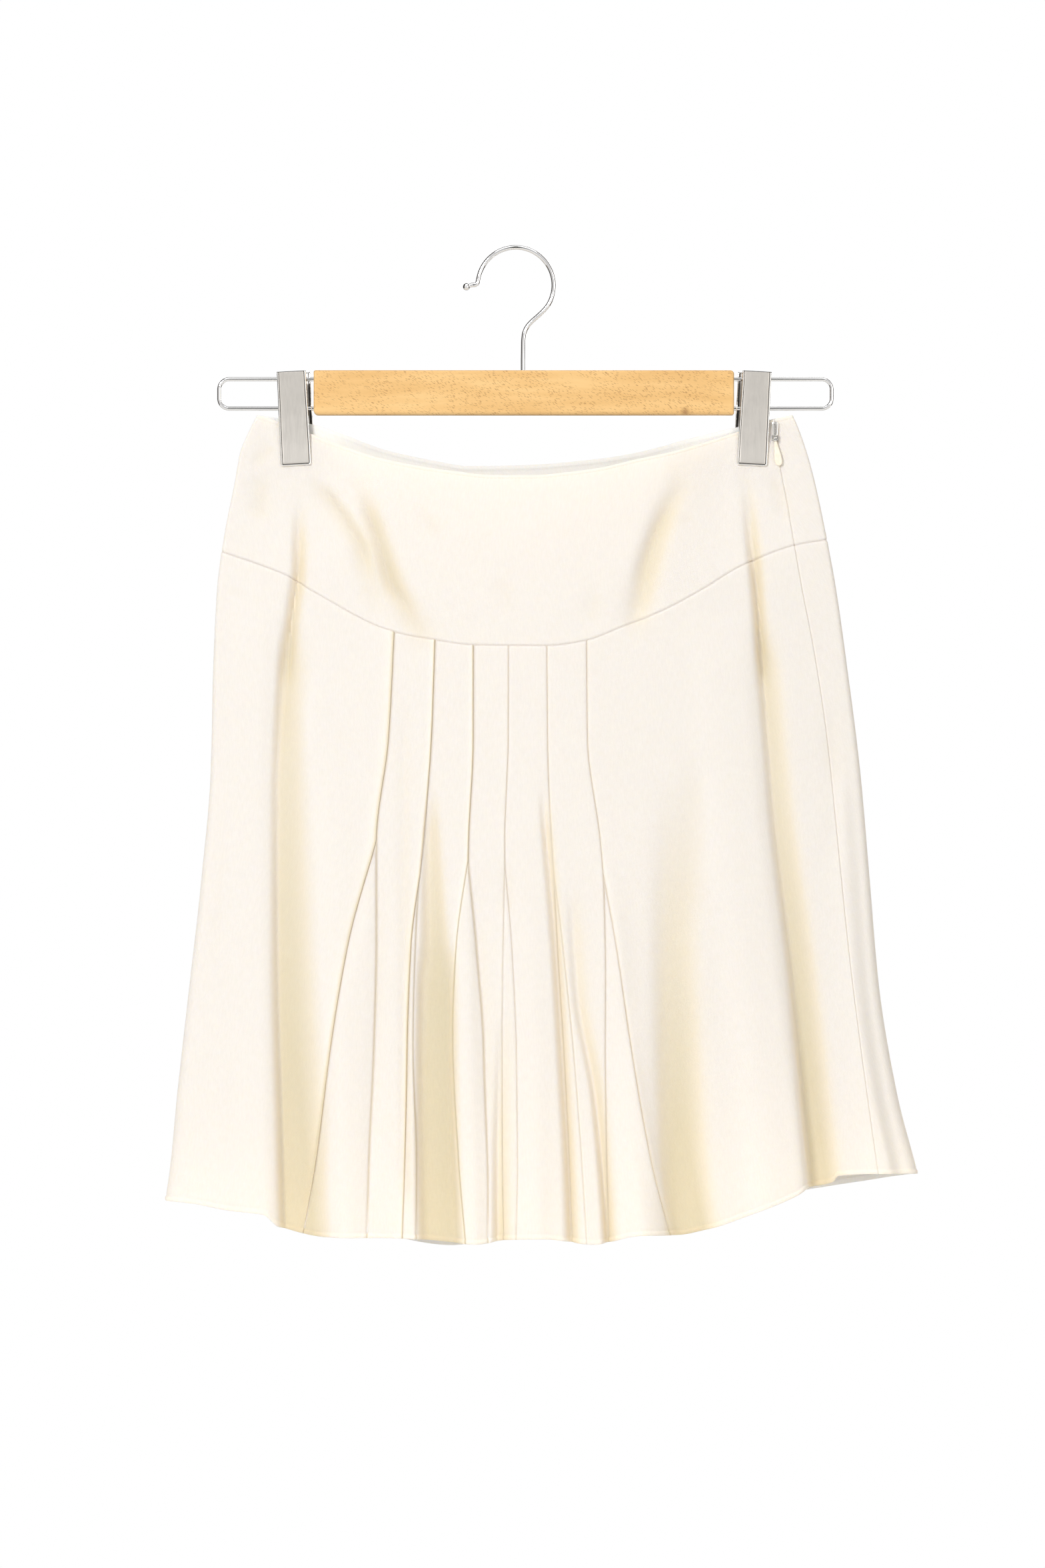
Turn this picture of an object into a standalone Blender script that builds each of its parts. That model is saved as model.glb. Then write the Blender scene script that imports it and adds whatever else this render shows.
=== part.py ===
"""A mini skirt with a shaped yoke and six godets, hung on a wooden bar hanger by two clips.

The tables are in millimetres and the meshes in metres. X runs to the viewer's right, Y away
from the viewer and Z up. The origin is the inner crown of the hook, where it rests on its rail.
A "drop" is a distance below that rail. An "angle" goes round the skirt: 0 is the left fold,
half a turn is the right fold, the front lies between them and the back beyond.
"""
import math
from collections import namedtuple

import bmesh
import bpy
import numpy as np

MM = 0.001

# Cloth
CLOTH = 1.2
SEAM_GAP = 0.3
GODET_TIP = 1.0
TOP_ROWS = 5
GODET_ROWS = 9
YOKE_ROWS = 7
LEFT_COLUMNS, NARROW_COLUMNS, RIGHT_COLUMNS, BACK_COLUMNS = 18, 3, 14, 40
WIDE_GODET_COLUMNS, GODET_COLUMNS = 5, 3
PLAIN_TIP_SHARE = 0.4
LEAST_COLUMN = 0.002
FOLD_CLEAR = 12.0

# Hanger
BAR_LEFT, BAR_RIGHT = -136.4, 147.2
BAR_TOP, BAR_BOTTOM = 81.7, 111.8
BAR_DEPTH = 12.0
BAR_EDGE = 1.6
HOOK_WIRE = 3.0
HOOK_INSIDE = 24.1
HOOK_BALL = 4.8
HOOK_BALL_X = -33.3
HOOK_NECK = ((18.0, -42.0), (14.3, -45.4), (10.7, -48.6), (7.8, -51.9), (6.0, -55.6), (5.2, -60.0))
HOOK_STRAIGHT = 66.0
HOOK_IN_BAR = 18.0
SHAFT_X = 5.0
LOOP_WIRE = 2.7
LOOP_TOP, LOOP_BOTTOM = 87.5, 107.3
LOOP_LEFT, LOOP_RIGHT = -200.25, 213.35
LOOP_CORNER = 6.75
LOOP_IN_BAR = 12.0
FIT = 0.3
BORE_START = 5.0

# Clips, whose places are given at their top and bottom
CLIP_TOP, CLIP_BOTTOM = 82.6, 146.0
LEFT_CLIP_X = (-151.4, -148.3)
RIGHT_CLIP_X = (162.7, 159.4)
CLIP_SHEET = 1.0
CLIP_EDGE = 0.7
BORE_HALF = 16.0
REAR_SHIFT = 2.5
SPRING_OUTSIDE = 6.0
SPRING_OUTWARD, SPRING_INWARD = 6.2, 8.6
HELD_HALF = 15.5
HELD_BELOW = 149.0
FREED_ACROSS, FREED_DOWN = 46.0, 75.0

# Zip
SLIDER_WIDE, SLIDER_TALL, SLIDER_THICK = 4.2, 10.0, 1.6
SLIDER_TOP = 116.3
PIN_THICK = 1.2
EYE_OUTSIDE = 3.4
LUG_WALL, LUG_PROUD, LUG_OVERLAP = 0.8, 0.3, 1.0
SLIDER_INWARD = 1.2
PULL_THICK = 1.4
PULL_LEAN = 9.0
Pull = namedtuple("Pull", "below half_width")
PULL = (
    Pull(0.9, 0.9), Pull(3.4, 1.15), Pull(7.0, 1.7), Pull(11.0, 2.3), Pull(14.0, 2.5),
    Pull(16.4, 2.2), Pull(18.0, 1.3),
)

# Sections of the skirt
Section = namedtuple("Section", "drop left right fold_radius front_depth back_depth")
SECTIONS = (
    Section(111.4, -174.6, 186.8, 1.7, 9.0, 8.0),
    Section(119.5, -178.7, 190.4, 1.7, 9.8, 8.6),
    Section(137.5, -186.3, 196.7, 1.7, 11.5, 9.6),
    Section(155.5, -189.5, 201.6, 1.8, 12.8, 10.5),
    Section(191.5, -196.7, 209.3, 2.3, 15.0, 12.5),
    Section(227.5, -201.6, 216.0, 2.9, 17.0, 14.6),
    Section(281.5, -204.3, 223.7, 3.6, 20.0, 17.5),
    Section(353.5, -206.1, 232.7, 4.4, 24.0, 21.5),
    Section(425.5, -212.4, 239.0, 5.2, 28.0, 25.5),
    Section(497.5, -220.5, 245.3, 6.0, 31.5, 28.5),
    Section(569.5, -228.6, 257.4, 6.8, 34.0, 31.0),
    Section(623.5, -234.0, 271.4, 7.4, 36.0, 33.0),
    Section(680.0, -244.0, 285.0, 8.0, 38.0, 35.0),
)

# Edges, read across the skirt
Edge = namedtuple("Edge", "x drop")
WAIST_FRONT = (
    Edge(-174.6, 111.4), Edge(-161.0, 115.9), Edge(-138.2, 124.4), Edge(-119.0, 132.0),
    Edge(-88.0, 142.0), Edge(-38.7, 150.5), Edge(-14.4, 152.8), Edge(11.7, 152.8),
    Edge(32.9, 151.0), Edge(56.7, 147.8), Edge(79.7, 142.4), Edge(106.2, 136.6),
    Edge(147.0, 124.0), Edge(171.5, 115.4), Edge(186.8, 111.6),
)
WAIST_BACK = (
    Edge(-174.6, 111.4), Edge(-138.6, 117.7), Edge(-119.0, 124.0), Edge(-88.0, 135.0),
    Edge(-51.0, 142.9), Edge(-33.0, 145.6), Edge(2.7, 145.1), Edge(54.5, 141.0),
    Edge(82.0, 136.6), Edge(117.0, 127.6), Edge(149.0, 119.9), Edge(186.8, 111.6),
)
YOKE_FRONT = (
    Edge(-201.0, 203.0), Edge(-153.9, 220.3), Edge(-138.6, 229.7), Edge(-82.4, 258.0),
    Edge(-54.9, 263.5), Edge(-29.7, 267.0), Edge(21.0, 267.6), Edge(47.7, 264.0),
    Edge(70.0, 255.5), Edge(100.4, 243.2), Edge(130.0, 227.0), Edge(148.5, 215.5),
    Edge(178.7, 202.5), Edge(188.6, 199.5), Edge(212.0, 195.5),
)
YOKE_BACK = (
    Edge(-201.0, 203.0), Edge(-150.0, 209.0), Edge(-110.0, 226.0), Edge(-60.0, 247.0),
    Edge(-20.0, 257.0), Edge(28.0, 262.0), Edge(70.0, 258.0), Edge(110.0, 245.0),
    Edge(150.0, 225.0), Edge(185.0, 206.0), Edge(212.0, 195.5),
)
HEM_FRONT = (
    Edge(-237.2, 641.5), Edge(-217.8, 643.3), Edge(-195.3, 647.4), Edge(-170.0, 650.0),
    Edge(-158.0, 659.0), Edge(-127.8, 665.0), Edge(-82.8, 665.2), Edge(-26.6, 669.0),
    Edge(-4.0, 666.0), Edge(18.5, 665.5), Edge(52.0, 669.2), Edge(86.0, 663.0),
    Edge(108.5, 663.6), Edge(131.0, 659.0), Edge(153.5, 651.4), Edge(176.0, 642.8),
    Edge(190.0, 636.5), Edge(203.0, 624.5), Edge(245.0, 623.0), Edge(272.5, 623.5),
)
HEM_BACK = (
    Edge(-237.2, 641.5), Edge(-200.0, 645.0), Edge(-150.0, 655.0), Edge(-100.0, 663.0),
    Edge(-42.3, 674.4), Edge(0.0, 668.5), Edge(60.0, 667.0), Edge(120.0, 658.0),
    Edge(198.5, 638.0), Edge(232.0, 631.5), Edge(254.7, 627.0), Edge(272.5, 623.5),
)

# Seams, read down the skirt; each front seam opens at its tip into a godet
SEAM_DROPS = (258.0, 330.0, 400.0, 470.0, 540.0, 610.0, 675.0)
Seam = namedtuple("Seam", "tip line left_spread right_spread")
FRONT_SEAMS = (
    Seam(399.4, (-82.0, -85.8, -94.0, -94.3, -96.0, -99.0, -100.6),
         (19.0, 29.0, 35.0, 45.0), (0.5, 0.5, 0.5, 0.5)),
    Seam(425.0, (-54.4, -56.9, -62.5, -69.0, -71.0, -70.5, -71.0),
         (1.6, 2.2, 4.0, 5.5), (1.6, 2.2, 4.2, 4.5)),
    Seam(413.0, (-28.8, -28.8, -31.9, -33.0, -32.0, -29.0, -26.0),
         (7.0, 10.2, 9.5, 7.0), (6.6, 10.4, 10.0, 7.5)),
    Seam(418.0, (-5.0, -5.2, -7.5, -6.0, -5.0, -4.3, -4.0),
         (2.5, 4.2, 4.9, 4.2), (3.2, 5.2, 5.3, 3.8)),
    Seam(425.0, (21.0, 21.5, 24.0, 29.5, 35.5, 40.0, 43.0),
         (1.8, 3.5, 4.5, 5.0), (2.0, 3.2, 4.0, 5.0)),
    Seam(422.0, (47.7, 48.3, 57.0, 62.0, 66.0, 72.0, 78.0),
         (2.0, 6.0, 11.5, 15.5), (5.5, 12.0, 18.5, 29.0)),
)
SPREAD_DROPS = (470.0, 540.0, 610.0, 675.0)
SIDE_DROPS = (112.0, 145.0, 171.0, 200.0, 231.0, 270.0, 330.0, 400.0, 470.0, 540.0, 610.0, 680.0)
RIGHT_SIDE_SEAM = (174.4, 178.2, 183.0, 188.0, 193.5, 201.0, 210.0, 217.0, 224.0, 232.5, 242.0, 252.0)
LEFT_SIDE_INSET = (13.0, 19.0, 22.0, 24.0, 24.0, 23.0, 20.0, 21.0, 22.0, 23.5, 25.0, 27.0)

# Folds: five places down the line of each, how far it stands out (minus goes in) and its two half widths
Fold = namedtuple("Fold", "name top bottom places rise wide")
FRONT_FOLDS = (
    Fold("left valley", 150, 700, (-151, -154, -164, -156, -151), (-2.5, -13.0), (8, 15)),
    Fold("left flap", 250, 700, (-168, -178, -183, -185, -188), (2.0, 7.0), (15, 9)),
    Fold("first godet", 300, 700, (-141, -128, -124, -124, -124), (1.5, 8.5), (14, 17)),
    Fold("recess", 410, 700, (-57, -52, -50, -49, -48), (-1.0, -9.0), (9, 9)),
    Fold("third godet", 420, 700, (-32, -32, -31, -28, -27), (1.0, 4.0), (7, 6)),
    Fold("middle trough", 470, 700, (-7, -9, -11, -14, -16), (-0.5, -12.0), (5, 6)),
    Fold("fifth panel", 420, 700, (10, 12, 14, 15, 16), (0.5, 3.5), (9, 8)),
    Fold("fifth valley", 380, 700, (19, 26, 33, 37, 41), (-2.5, -14.0), (6, 7)),
    Fold("sixth valley", 460, 700, (35, 45, 53, 58, 63), (-0.5, -11.0), (6, 6)),
    Fold("sixth godet", 430, 700, (66, 71, 77, 84, 90), (1.0, 8.0), (10, 14)),
    Fold("broad valley", 290, 700, (111, 115, 109, 114, 126), (-1.5, -8.5), (15, 17)),
    Fold("right ridge", 260, 700, (146, 156, 158, 169, 180), (2.0, 9.0), (15, 10)),
    Fold("right valley", 160, 700, (156, 166, 178, 193, 214), (-2.5, -15.0), (8, 15)),
    Fold("right edge", 400, 700, (212, 217, 223, 232, 243), (1.0, 6.0), (13, 14)),
    Fold("crease from left clip", 150, 240, (-146, -121, -106, -100, -96), (-1.5, -2.0), (8, 8)),
    Fold("hip crease", 160, 262, (-111, -97, -88, -78, -66), (-2.4, -3.2), (8, 9)),
    Fold("right hip crease", 160, 250, (109, 98, 91, 85, 79), (-2.4, -3.2), (9, 8)),
)
BACK_FOLDS = (
    Fold("back crease from left clip", 150, 250, (-146, -128, -115, -104, -96), (-1.5, -2.5), (9, 9)),
    Fold("back crease from right clip", 150, 255, (158, 140, 124, 112, 104), (-1.5, -2.5), (9, 9)),
    Fold("back left valley", 220, 700, (-148, -152, -158, -160, -164), (-2.0, -13.0), (17, 20)),
    Fold("back left ridge", 300, 700, (-108, -110, -112, -116, -120), (1.0, 8.0), (17, 18)),
    Fold("back second valley", 270, 700, (-66, -68, -68, -72, -78), (-1.5, -11.0), (18, 16)),
    Fold("back middle ridge", 330, 700, (-22, -20, -22, -26, -30), (1.0, 9.0), (18, 17)),
    Fold("back third valley", 280, 700, (24, 26, 24, 20, 18), (-1.5, -12.0), (17, 18)),
    Fold("back fourth valley", 250, 700, (96, 98, 96, 100, 106), (-2.0, -12.0), (18, 17)),
    Fold("back right ridge", 320, 700, (138, 142, 146, 150, 158), (1.0, 8.0), (17, 18)),
    Fold("back right valley", 230, 700, (176, 182, 190, 198, 210), (-2.0, -13.0), (17, 17)),
)
FOLD_FADE = 40.0

# Colours, roughness and metallic value
CREAM = ((0.96, 0.88, 0.79), 0.75, 0.0)
BEECH = ((0.76, 0.53, 0.29), 0.5, 0.0)
CHROME = ((0.72, 0.72, 0.72), 0.15, 1.0)
SATIN_STEEL = ((0.55, 0.53, 0.50), 0.35, 1.0)
SPRING_STEEL = ((0.25, 0.24, 0.23), 0.35, 1.0)
ENAMEL = ((0.93, 0.85, 0.74), 0.35, 0.0)


def clear_scene():
    for item in list(bpy.data.objects):
        bpy.data.objects.remove(item, do_unlink=True)


def make_material(name, look):
    colour, roughness, metallic = look
    material = bpy.data.materials.new(name)
    material.use_nodes = True
    shader = material.node_tree.nodes["Principled BSDF"]
    shader.inputs["Base Color"].default_value = (*colour, 1.0)
    shader.inputs["Roughness"].default_value = roughness
    shader.inputs["Metallic"].default_value = metallic
    return material


def make_object(name, points, faces, look, origin=(0.0, 0.0, 0.0), crease=40.0):
    """Object from points in millimetres, with its faces turned outward and its origin at a given place."""
    mesh = bpy.data.meshes.new(name)
    local = (np.asarray(points, float) - np.asarray(origin, float)) * MM
    mesh.from_pydata([tuple(point) for point in local], [], faces)
    shape = bmesh.new()
    shape.from_mesh(mesh)
    bmesh.ops.recalc_face_normals(shape, faces=shape.faces)
    shape.to_mesh(mesh)
    shape.free()
    mesh.shade_smooth()
    mesh.set_sharp_from_angle(angle=math.radians(crease))
    mesh.materials.append(make_material(name, look))
    item = bpy.data.objects.new(name, mesh)
    item.location = np.asarray(origin, float) * MM
    bpy.context.scene.collection.objects.link(item)
    return item


def cut(target, points, faces):
    """Takes the closed shape away from the target."""
    cutter = make_object(target.name + "_bores", points, faces, SPRING_STEEL)
    cutter.hide_render = True
    cutter.display_type = "WIRE"
    bore = target.modifiers.new("bores", "BOOLEAN")
    bore.operation = "DIFFERENCE"
    bore.solver = "EXACT"
    bore.object = cutter


def curve(knots, values, at):
    """Smooth line through a short table that never swings past its values."""
    knots = np.asarray(knots, float)
    values = np.asarray(values, float)
    spans = np.diff(knots)
    steps = np.diff(values) / spans
    slopes = np.zeros(len(knots))
    same_way = steps[:-1] * steps[1:] > 0
    inner = slopes[1:-1]
    inner[same_way] = 2 / (1 / steps[:-1][same_way] + 1 / steps[1:][same_way])
    slopes[0], slopes[-1] = steps[0], steps[-1]
    at = np.clip(at, knots[0], knots[-1])
    k = np.clip(np.searchsorted(knots, at, side="right") - 1, 0, len(spans) - 1)
    t = (at - knots[k]) / spans[k]
    start = values[k] * (1 + 2 * t) * (1 - t) ** 2 + slopes[k] * spans[k] * t * (1 - t) ** 2
    end = values[k + 1] * t * t * (3 - 2 * t) + slopes[k + 1] * spans[k] * t * t * (t - 1)
    return start + end


def ramp(value):
    """Goes smoothly from 0 to 1 while the value does."""
    value = np.clip(value, 0, 1)
    return value * value * (3 - 2 * value)


DROPS = [section.drop for section in SECTIONS]


def section_at(field, drop):
    """One measure of the skirt's section, at any drop."""
    return curve(DROPS, [getattr(section, field) for section in SECTIONS], drop)


def clip_centre(side, drop):
    """Middle of the left (-1) or right (+1) clip, which leans a little."""
    top, bottom = RIGHT_CLIP_X if side > 0 else LEFT_CLIP_X
    return top + (bottom - top) * (drop - CLIP_TOP) / (CLIP_BOTTOM - CLIP_TOP)


def pinch(x, drop):
    """1 where a clip holds front and back together, 0 where they hang free."""
    hold = np.zeros_like(x)
    for side in (-1, 1):
        away = np.abs(x - clip_centre(side, np.minimum(drop, CLIP_BOTTOM)))
        hold = np.maximum(hold, 1 - ramp((away - HELD_HALF) / FREED_ACROSS))
    return hold * (1 - ramp((drop - HELD_BELOW) / FREED_DOWN))


def fold_rise(folds, x, drop):
    """How far the folds stand out at these places."""
    total = np.zeros_like(x)
    for fold in folds:
        middle = curve(np.linspace(fold.top, fold.bottom, 5), fold.places, drop)
        share = (drop - fold.top) / (fold.bottom - fold.top)
        height = fold.rise[0] + (fold.rise[1] - fold.rise[0]) * share
        wide = np.where(x < middle, fold.wide[0], fold.wide[1])
        shown = ramp((drop - fold.top) / FOLD_FADE + 0.5)
        shown = shown * ramp((fold.bottom - drop) / FOLD_FADE + 0.5)
        total += height * shown * np.exp(-((x - middle) / wide) ** 2)
    return total


def place(angle, drop):
    """Points of the cloth's outer face."""
    angle, drop = np.broadcast_arrays(np.asarray(angle, float), np.asarray(drop, float))
    left = section_at("left", drop)
    width = section_at("right", drop) - left
    radius = section_at("fold_radius", drop)
    front = np.sin(angle) > 0
    depth = np.where(front, section_at("front_depth", drop), section_at("back_depth", drop))
    across = (1 - np.cos(angle)) / 2
    x = left + width * across
    inset = width * np.minimum(across, 1 - across)
    cap = np.sqrt(1 - (1 - np.minimum(inset / radius, 1)) ** 2)
    free = 1 - pinch(x, drop)
    belly = (depth - radius) * np.sin(np.pi * across) * free
    folds = np.where(front, fold_rise(FRONT_FOLDS, x, drop), fold_rise(BACK_FOLDS, x, drop))
    half = (radius + belly + folds * free * ramp((inset - radius) / FOLD_CLEAR)) * cap
    return np.stack([x, np.where(front, -half, half), -drop], axis=-1)


def outward(angle, drop):
    """Unit normals of the outer face."""
    turn, down = 0.004, 0.5
    around = place(angle + turn, drop) - place(angle - turn, drop)
    below = place(angle, drop + down) - place(angle, drop - down)
    normal = np.cross(below, around)
    return normal / np.linalg.norm(normal, axis=-1, keepdims=True)


def angle_at(x, drop):
    """Angle of a place on the front, from its x."""
    left = section_at("left", drop)
    across = (x - left) / (section_at("right", drop) - left)
    return np.arccos(1 - 2 * np.clip(across, 0, 1))


def left_side(drop):
    """Angle of the left side seam, which runs down the back."""
    inset = curve(SIDE_DROPS, LEFT_SIDE_INSET, drop)
    return -angle_at(section_at("left", drop) + inset, drop)


def right_side(drop):
    """Angle of the right side seam, which holds the zip and runs down the front."""
    return angle_at(curve(SIDE_DROPS, RIGHT_SIDE_SEAM, drop), drop)


def left_side_from_back(drop):
    """The left side seam again, a whole turn on."""
    return 2 * np.pi + left_side(drop)


def branch(seam, side):
    """Angle down the left (-1) or right (+1) edge of a front seam and its godet."""
    tip_spread = GODET_TIP / 2
    spreads = (tip_spread,) + (seam.left_spread if side < 0 else seam.right_spread)

    def line(drop):
        spread = curve((seam.tip,) + SPREAD_DROPS, spreads, drop)
        x = curve(SEAM_DROPS, seam.line, drop) + side * np.where(drop < seam.tip - 0.01, 0.0, spread)
        return angle_at(x, drop)

    return line


def edge_drop(front_edge, back_edge, angle, drop):
    """Drop of an edge of the cloth where it passes these places."""
    x = place(angle, drop)[..., 0]
    front = curve([p.x for p in front_edge], [p.drop for p in front_edge], x)
    back = curve([p.x for p in back_edge], [p.drop for p in back_edge], x)
    return np.where(np.sin(angle) > 0, front, back)


def meet(edges, left, right, share):
    """Drop at which columns between two seam lines meet an edge of the cloth."""
    share = np.asarray(share, float)
    drop = np.full_like(share, np.mean([point.drop for point in edges[0]]))
    for _ in range(40):
        angle = left(drop) * (1 - share) + right(drop) * share
        drop = (drop + edge_drop(*edges, angle, drop)) / 2
    return drop


WAIST = (WAIST_FRONT, WAIST_BACK)
YOKE = (YOKE_FRONT, YOKE_BACK)
HEM = (HEM_FRONT, HEM_BACK)


def even_shares(left, right, count, drop=430.0, fold_share=0.30):
    """Shares of the way between two seams, about evenly spaced along the cloth."""
    angles = np.linspace(left(drop), right(drop), 400)
    density = fold_share + np.abs(np.sin(angles))
    measure = np.concatenate([[0], np.cumsum((density[1:] + density[:-1]) / 2)])
    return np.interp(np.linspace(0, measure[-1], count + 1), measure, np.linspace(0, 1, 400))


def cloth_wall(name, left, right, shares, drops):
    """Closed wall of cloth between two seam lines; drops holds a row of drops for each row of points."""
    rows, columns = drops.shape
    angles = left(drops) * (1 - shares) + right(drops) * shares
    turn = 0.001
    span = np.linalg.norm(place(angles + turn, drops) - place(angles - turn, drops), axis=-1)
    span /= 2 * turn
    inset = np.zeros_like(angles)
    inset[:, 0] = SEAM_GAP / 2
    inset[:, -1] = -SEAM_GAP / 2
    angles = angles + inset / span
    outer = place(angles, drops)
    inner = outer - CLOTH * outward(angles, drops)
    points = np.concatenate([outer.reshape(-1, 3), inner.reshape(-1, 3)])
    count = rows * columns
    faces = []
    for r in range(rows - 1):
        for c in range(columns - 1):
            a = r * columns + c
            quad = (a, a + 1, a + columns + 1, a + columns)
            faces.append(quad)
            faces.append(tuple(count + index for index in reversed(quad)))
    rim = list(range(columns))
    rim += [r * columns + columns - 1 for r in range(1, rows)]
    rim += [(rows - 1) * columns + c for c in range(columns - 2, -1, -1)]
    rim += [r * columns for r in range(rows - 2, 0, -1)]
    for here, after in zip(rim, rim[1:] + rim[:1]):
        faces.append((here, here + count, after + count, after))
    return make_object(name, points, faces, CREAM, crease=60.0)


def row_shares(tip_share):
    """Rows down a lower panel, with one at the height of the godet's tip."""
    upper = np.linspace(0, tip_share, TOP_ROWS + 1)
    lower = np.linspace(tip_share, 1, GODET_ROWS + 1)
    return np.concatenate([upper, lower[1:]])


def tip_share_of(seam, line):
    if seam is None:
        return PLAIN_TIP_SHARE
    top = meet(YOKE, line, line, 0.0)
    bottom = meet(HEM, line, line, 0.0)
    return float((seam.tip - top) / (bottom - top))


def lower_panel(name, left, right, shares, left_seam=None, right_seam=None):
    top = meet(YOKE, left, right, shares) + SEAM_GAP / 2
    bottom = meet(HEM, left, right, shares)
    left_rows = row_shares(tip_share_of(left_seam, left))[:, None]
    right_rows = row_shares(tip_share_of(right_seam, right))[:, None]
    rows = left_rows * (1 - shares) + right_rows * shares
    cloth_wall(name, left, right, shares, top + (bottom - top) * rows)


def godet(name, seam, columns):
    left, right = branch(seam, -1), branch(seam, 1)
    shares = np.linspace(0, 1, columns + 1)
    bottom = meet(HEM, left, right, shares)
    rows = np.linspace(0, 1, GODET_ROWS + 1)[:, None]
    cloth_wall(name, left, right, shares, seam.tip + (bottom - seam.tip) * rows)


def yoke_shares(left, right, panels):
    """Columns of a yoke, set over those of the panels below it."""
    places = []
    for low, high, shares in panels:
        drop = meet(YOKE, low, high, shares)
        angle = low(drop) * (1 - shares) + high(drop) * shares
        shared = (angle - left(drop)) / (right(drop) - left(drop))
        places += [s for s in shared if not places or s > places[-1] + LEAST_COLUMN]
    places[-1] = 1.0
    return np.array(places)


def yoke(name, left, right, shares):
    top = meet(WAIST, left, right, shares)
    bottom = meet(YOKE, left, right, shares) - SEAM_GAP / 2
    rows = np.linspace(0, 1, YOKE_ROWS + 1)[:, None]
    cloth_wall(name, left, right, shares, top + (bottom - top) * rows)


def build_skirt():
    lines = [(branch(seam, -1), branch(seam, 1)) for seam in FRONT_SEAMS]
    narrow = np.linspace(0, 1, NARROW_COLUMNS + 1)
    left_shares = even_shares(left_side, lines[0][0], LEFT_COLUMNS)
    right_shares = even_shares(lines[-1][1], right_side, RIGHT_COLUMNS)
    back_shares = even_shares(right_side, left_side_from_back, BACK_COLUMNS)
    front_panels = [(left_side, lines[0][0], left_shares)]
    for low, high in zip(lines, lines[1:]):
        front_panels.append((low[1], high[0], narrow))
    front_panels.append((lines[-1][1], right_side, right_shares))
    front_shares = yoke_shares(left_side, right_side, front_panels)
    yoke("front_yoke", left_side, right_side, front_shares)
    yoke("back_yoke", right_side, left_side_from_back, back_shares)
    seams = (None,) + FRONT_SEAMS + (None,)
    names = ["front_left"] + [f"front_{n}" for n in range(1, len(FRONT_SEAMS))] + ["front_right"]
    for name, panel, left_seam, right_seam in zip(names, front_panels, seams, seams[1:]):
        lower_panel(name, *panel, left_seam, right_seam)
    lower_panel("back_panel", right_side, left_side_from_back, back_shares)
    for n, seam in enumerate(FRONT_SEAMS, 1):
        at_end = n in (1, len(FRONT_SEAMS))
        godet(f"godet_{n}", seam, WIDE_GODET_COLUMNS if at_end else GODET_COLUMNS)


def arc(centre, radius, start, end, steps):
    """Points (x, z) on an arc, in degrees, measured from +X towards +Z."""
    angles = np.radians(np.linspace(start, end, steps + 1))
    return [(centre[0] + radius * math.cos(a), centre[1] + radius * math.sin(a)) for a in angles]


def sweep(name, path, radii, sides, look):
    """Round wire along a path in the XZ plane, with a radius for each point."""
    path = np.asarray(path, float)
    tangents = np.gradient(path, axis=0)
    tangents /= np.linalg.norm(tangents, axis=1, keepdims=True)
    turns = np.linspace(0, 2 * np.pi, sides, endpoint=False)
    points = []
    for (x, z), (tx, tz), radius in zip(path, tangents, radii):
        for turn in turns:
            out = radius * math.cos(turn)
            points.append((x - tz * out, radius * math.sin(turn), z + tx * out))
    faces = []
    for ring in range(len(path) - 1):
        for side in range(sides):
            a = ring * sides + side
            b = ring * sides + (side + 1) % sides
            faces.append((a, b, b + sides, a + sides))
    faces.append(tuple(range(sides)))
    faces.append(tuple((len(path) - 1) * sides + side for side in range(sides)))
    return make_object(name, points, faces, look, crease=50.0)


def prism_along_x(centre, radius, start, end, sides=24):
    """Round rod along X, as points and faces."""
    turns = np.linspace(0, 2 * np.pi, sides, endpoint=False)
    ring = [(centre[0] + radius * math.cos(t), centre[1] + radius * math.sin(t)) for t in turns]
    points = [(x, y, z) for x in (start, end) for y, z in ring]
    faces = [tuple(range(sides)), tuple(range(2 * sides - 1, sides - 1, -1))]
    faces += [(s, (s + 1) % sides, (s + 1) % sides + sides, s + sides) for s in range(sides)]
    return points, faces


def hook_path():
    """Centre line from the ball tip over the crown to the shaft's lower end, and its radii."""
    middle = -HOOK_INSIDE
    radius = HOOK_INSIDE + HOOK_WIRE / 2
    ball = np.array((HOOK_BALL_X, middle - 1.0))
    start = np.array((-radius, middle + 1.5))
    path = [tuple(ball + (start - ball) * t) for t in (-0.24, -0.16, 0.0, 0.14, 0.24, 0.55)]
    path += [(-radius - 1.6, middle - 0.2)]
    path += arc((0, middle), radius, 172, -31, 26)
    path += list(HOOK_NECK)
    path += [(SHAFT_X, -HOOK_STRAIGHT), (SHAFT_X, -(BAR_TOP + HOOK_IN_BAR))]
    radii = [HOOK_WIRE / 2] * len(path)
    radii[:5] = [1.2, 2.0, HOOK_BALL / 2, 2.0, HOOK_WIRE / 2]
    return path, radii


def loop_path(end, bar_end):
    """Centre line of one wire loop, out of the bar's end, round and back."""
    side = math.copysign(1, end)
    inside = bar_end - side * LOOP_IN_BAR
    centre = end - side * LOOP_CORNER
    upper = arc((centre, -LOOP_TOP - LOOP_CORNER), LOOP_CORNER, 90, 0, 5)
    lower = arc((centre, -LOOP_BOTTOM + LOOP_CORNER), LOOP_CORNER, 0, -90, 5)
    if side < 0:
        upper = [(2 * centre - x, z) for x, z in upper]
        lower = [(2 * centre - x, z) for x, z in lower]
    return [(inside, -LOOP_TOP)] + upper + lower + [(inside, -LOOP_BOTTOM)]


def box(low, high):
    """Points and faces of a box between two corners."""
    points = [(x, y, z) for x in (low[0], high[0]) for y in (low[1], high[1]) for z in (low[2], high[2])]
    faces = [(0, 1, 3, 2), (4, 6, 7, 5), (0, 4, 5, 1), (2, 3, 7, 6), (0, 2, 6, 4), (1, 5, 7, 3)]
    return points, faces


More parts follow.
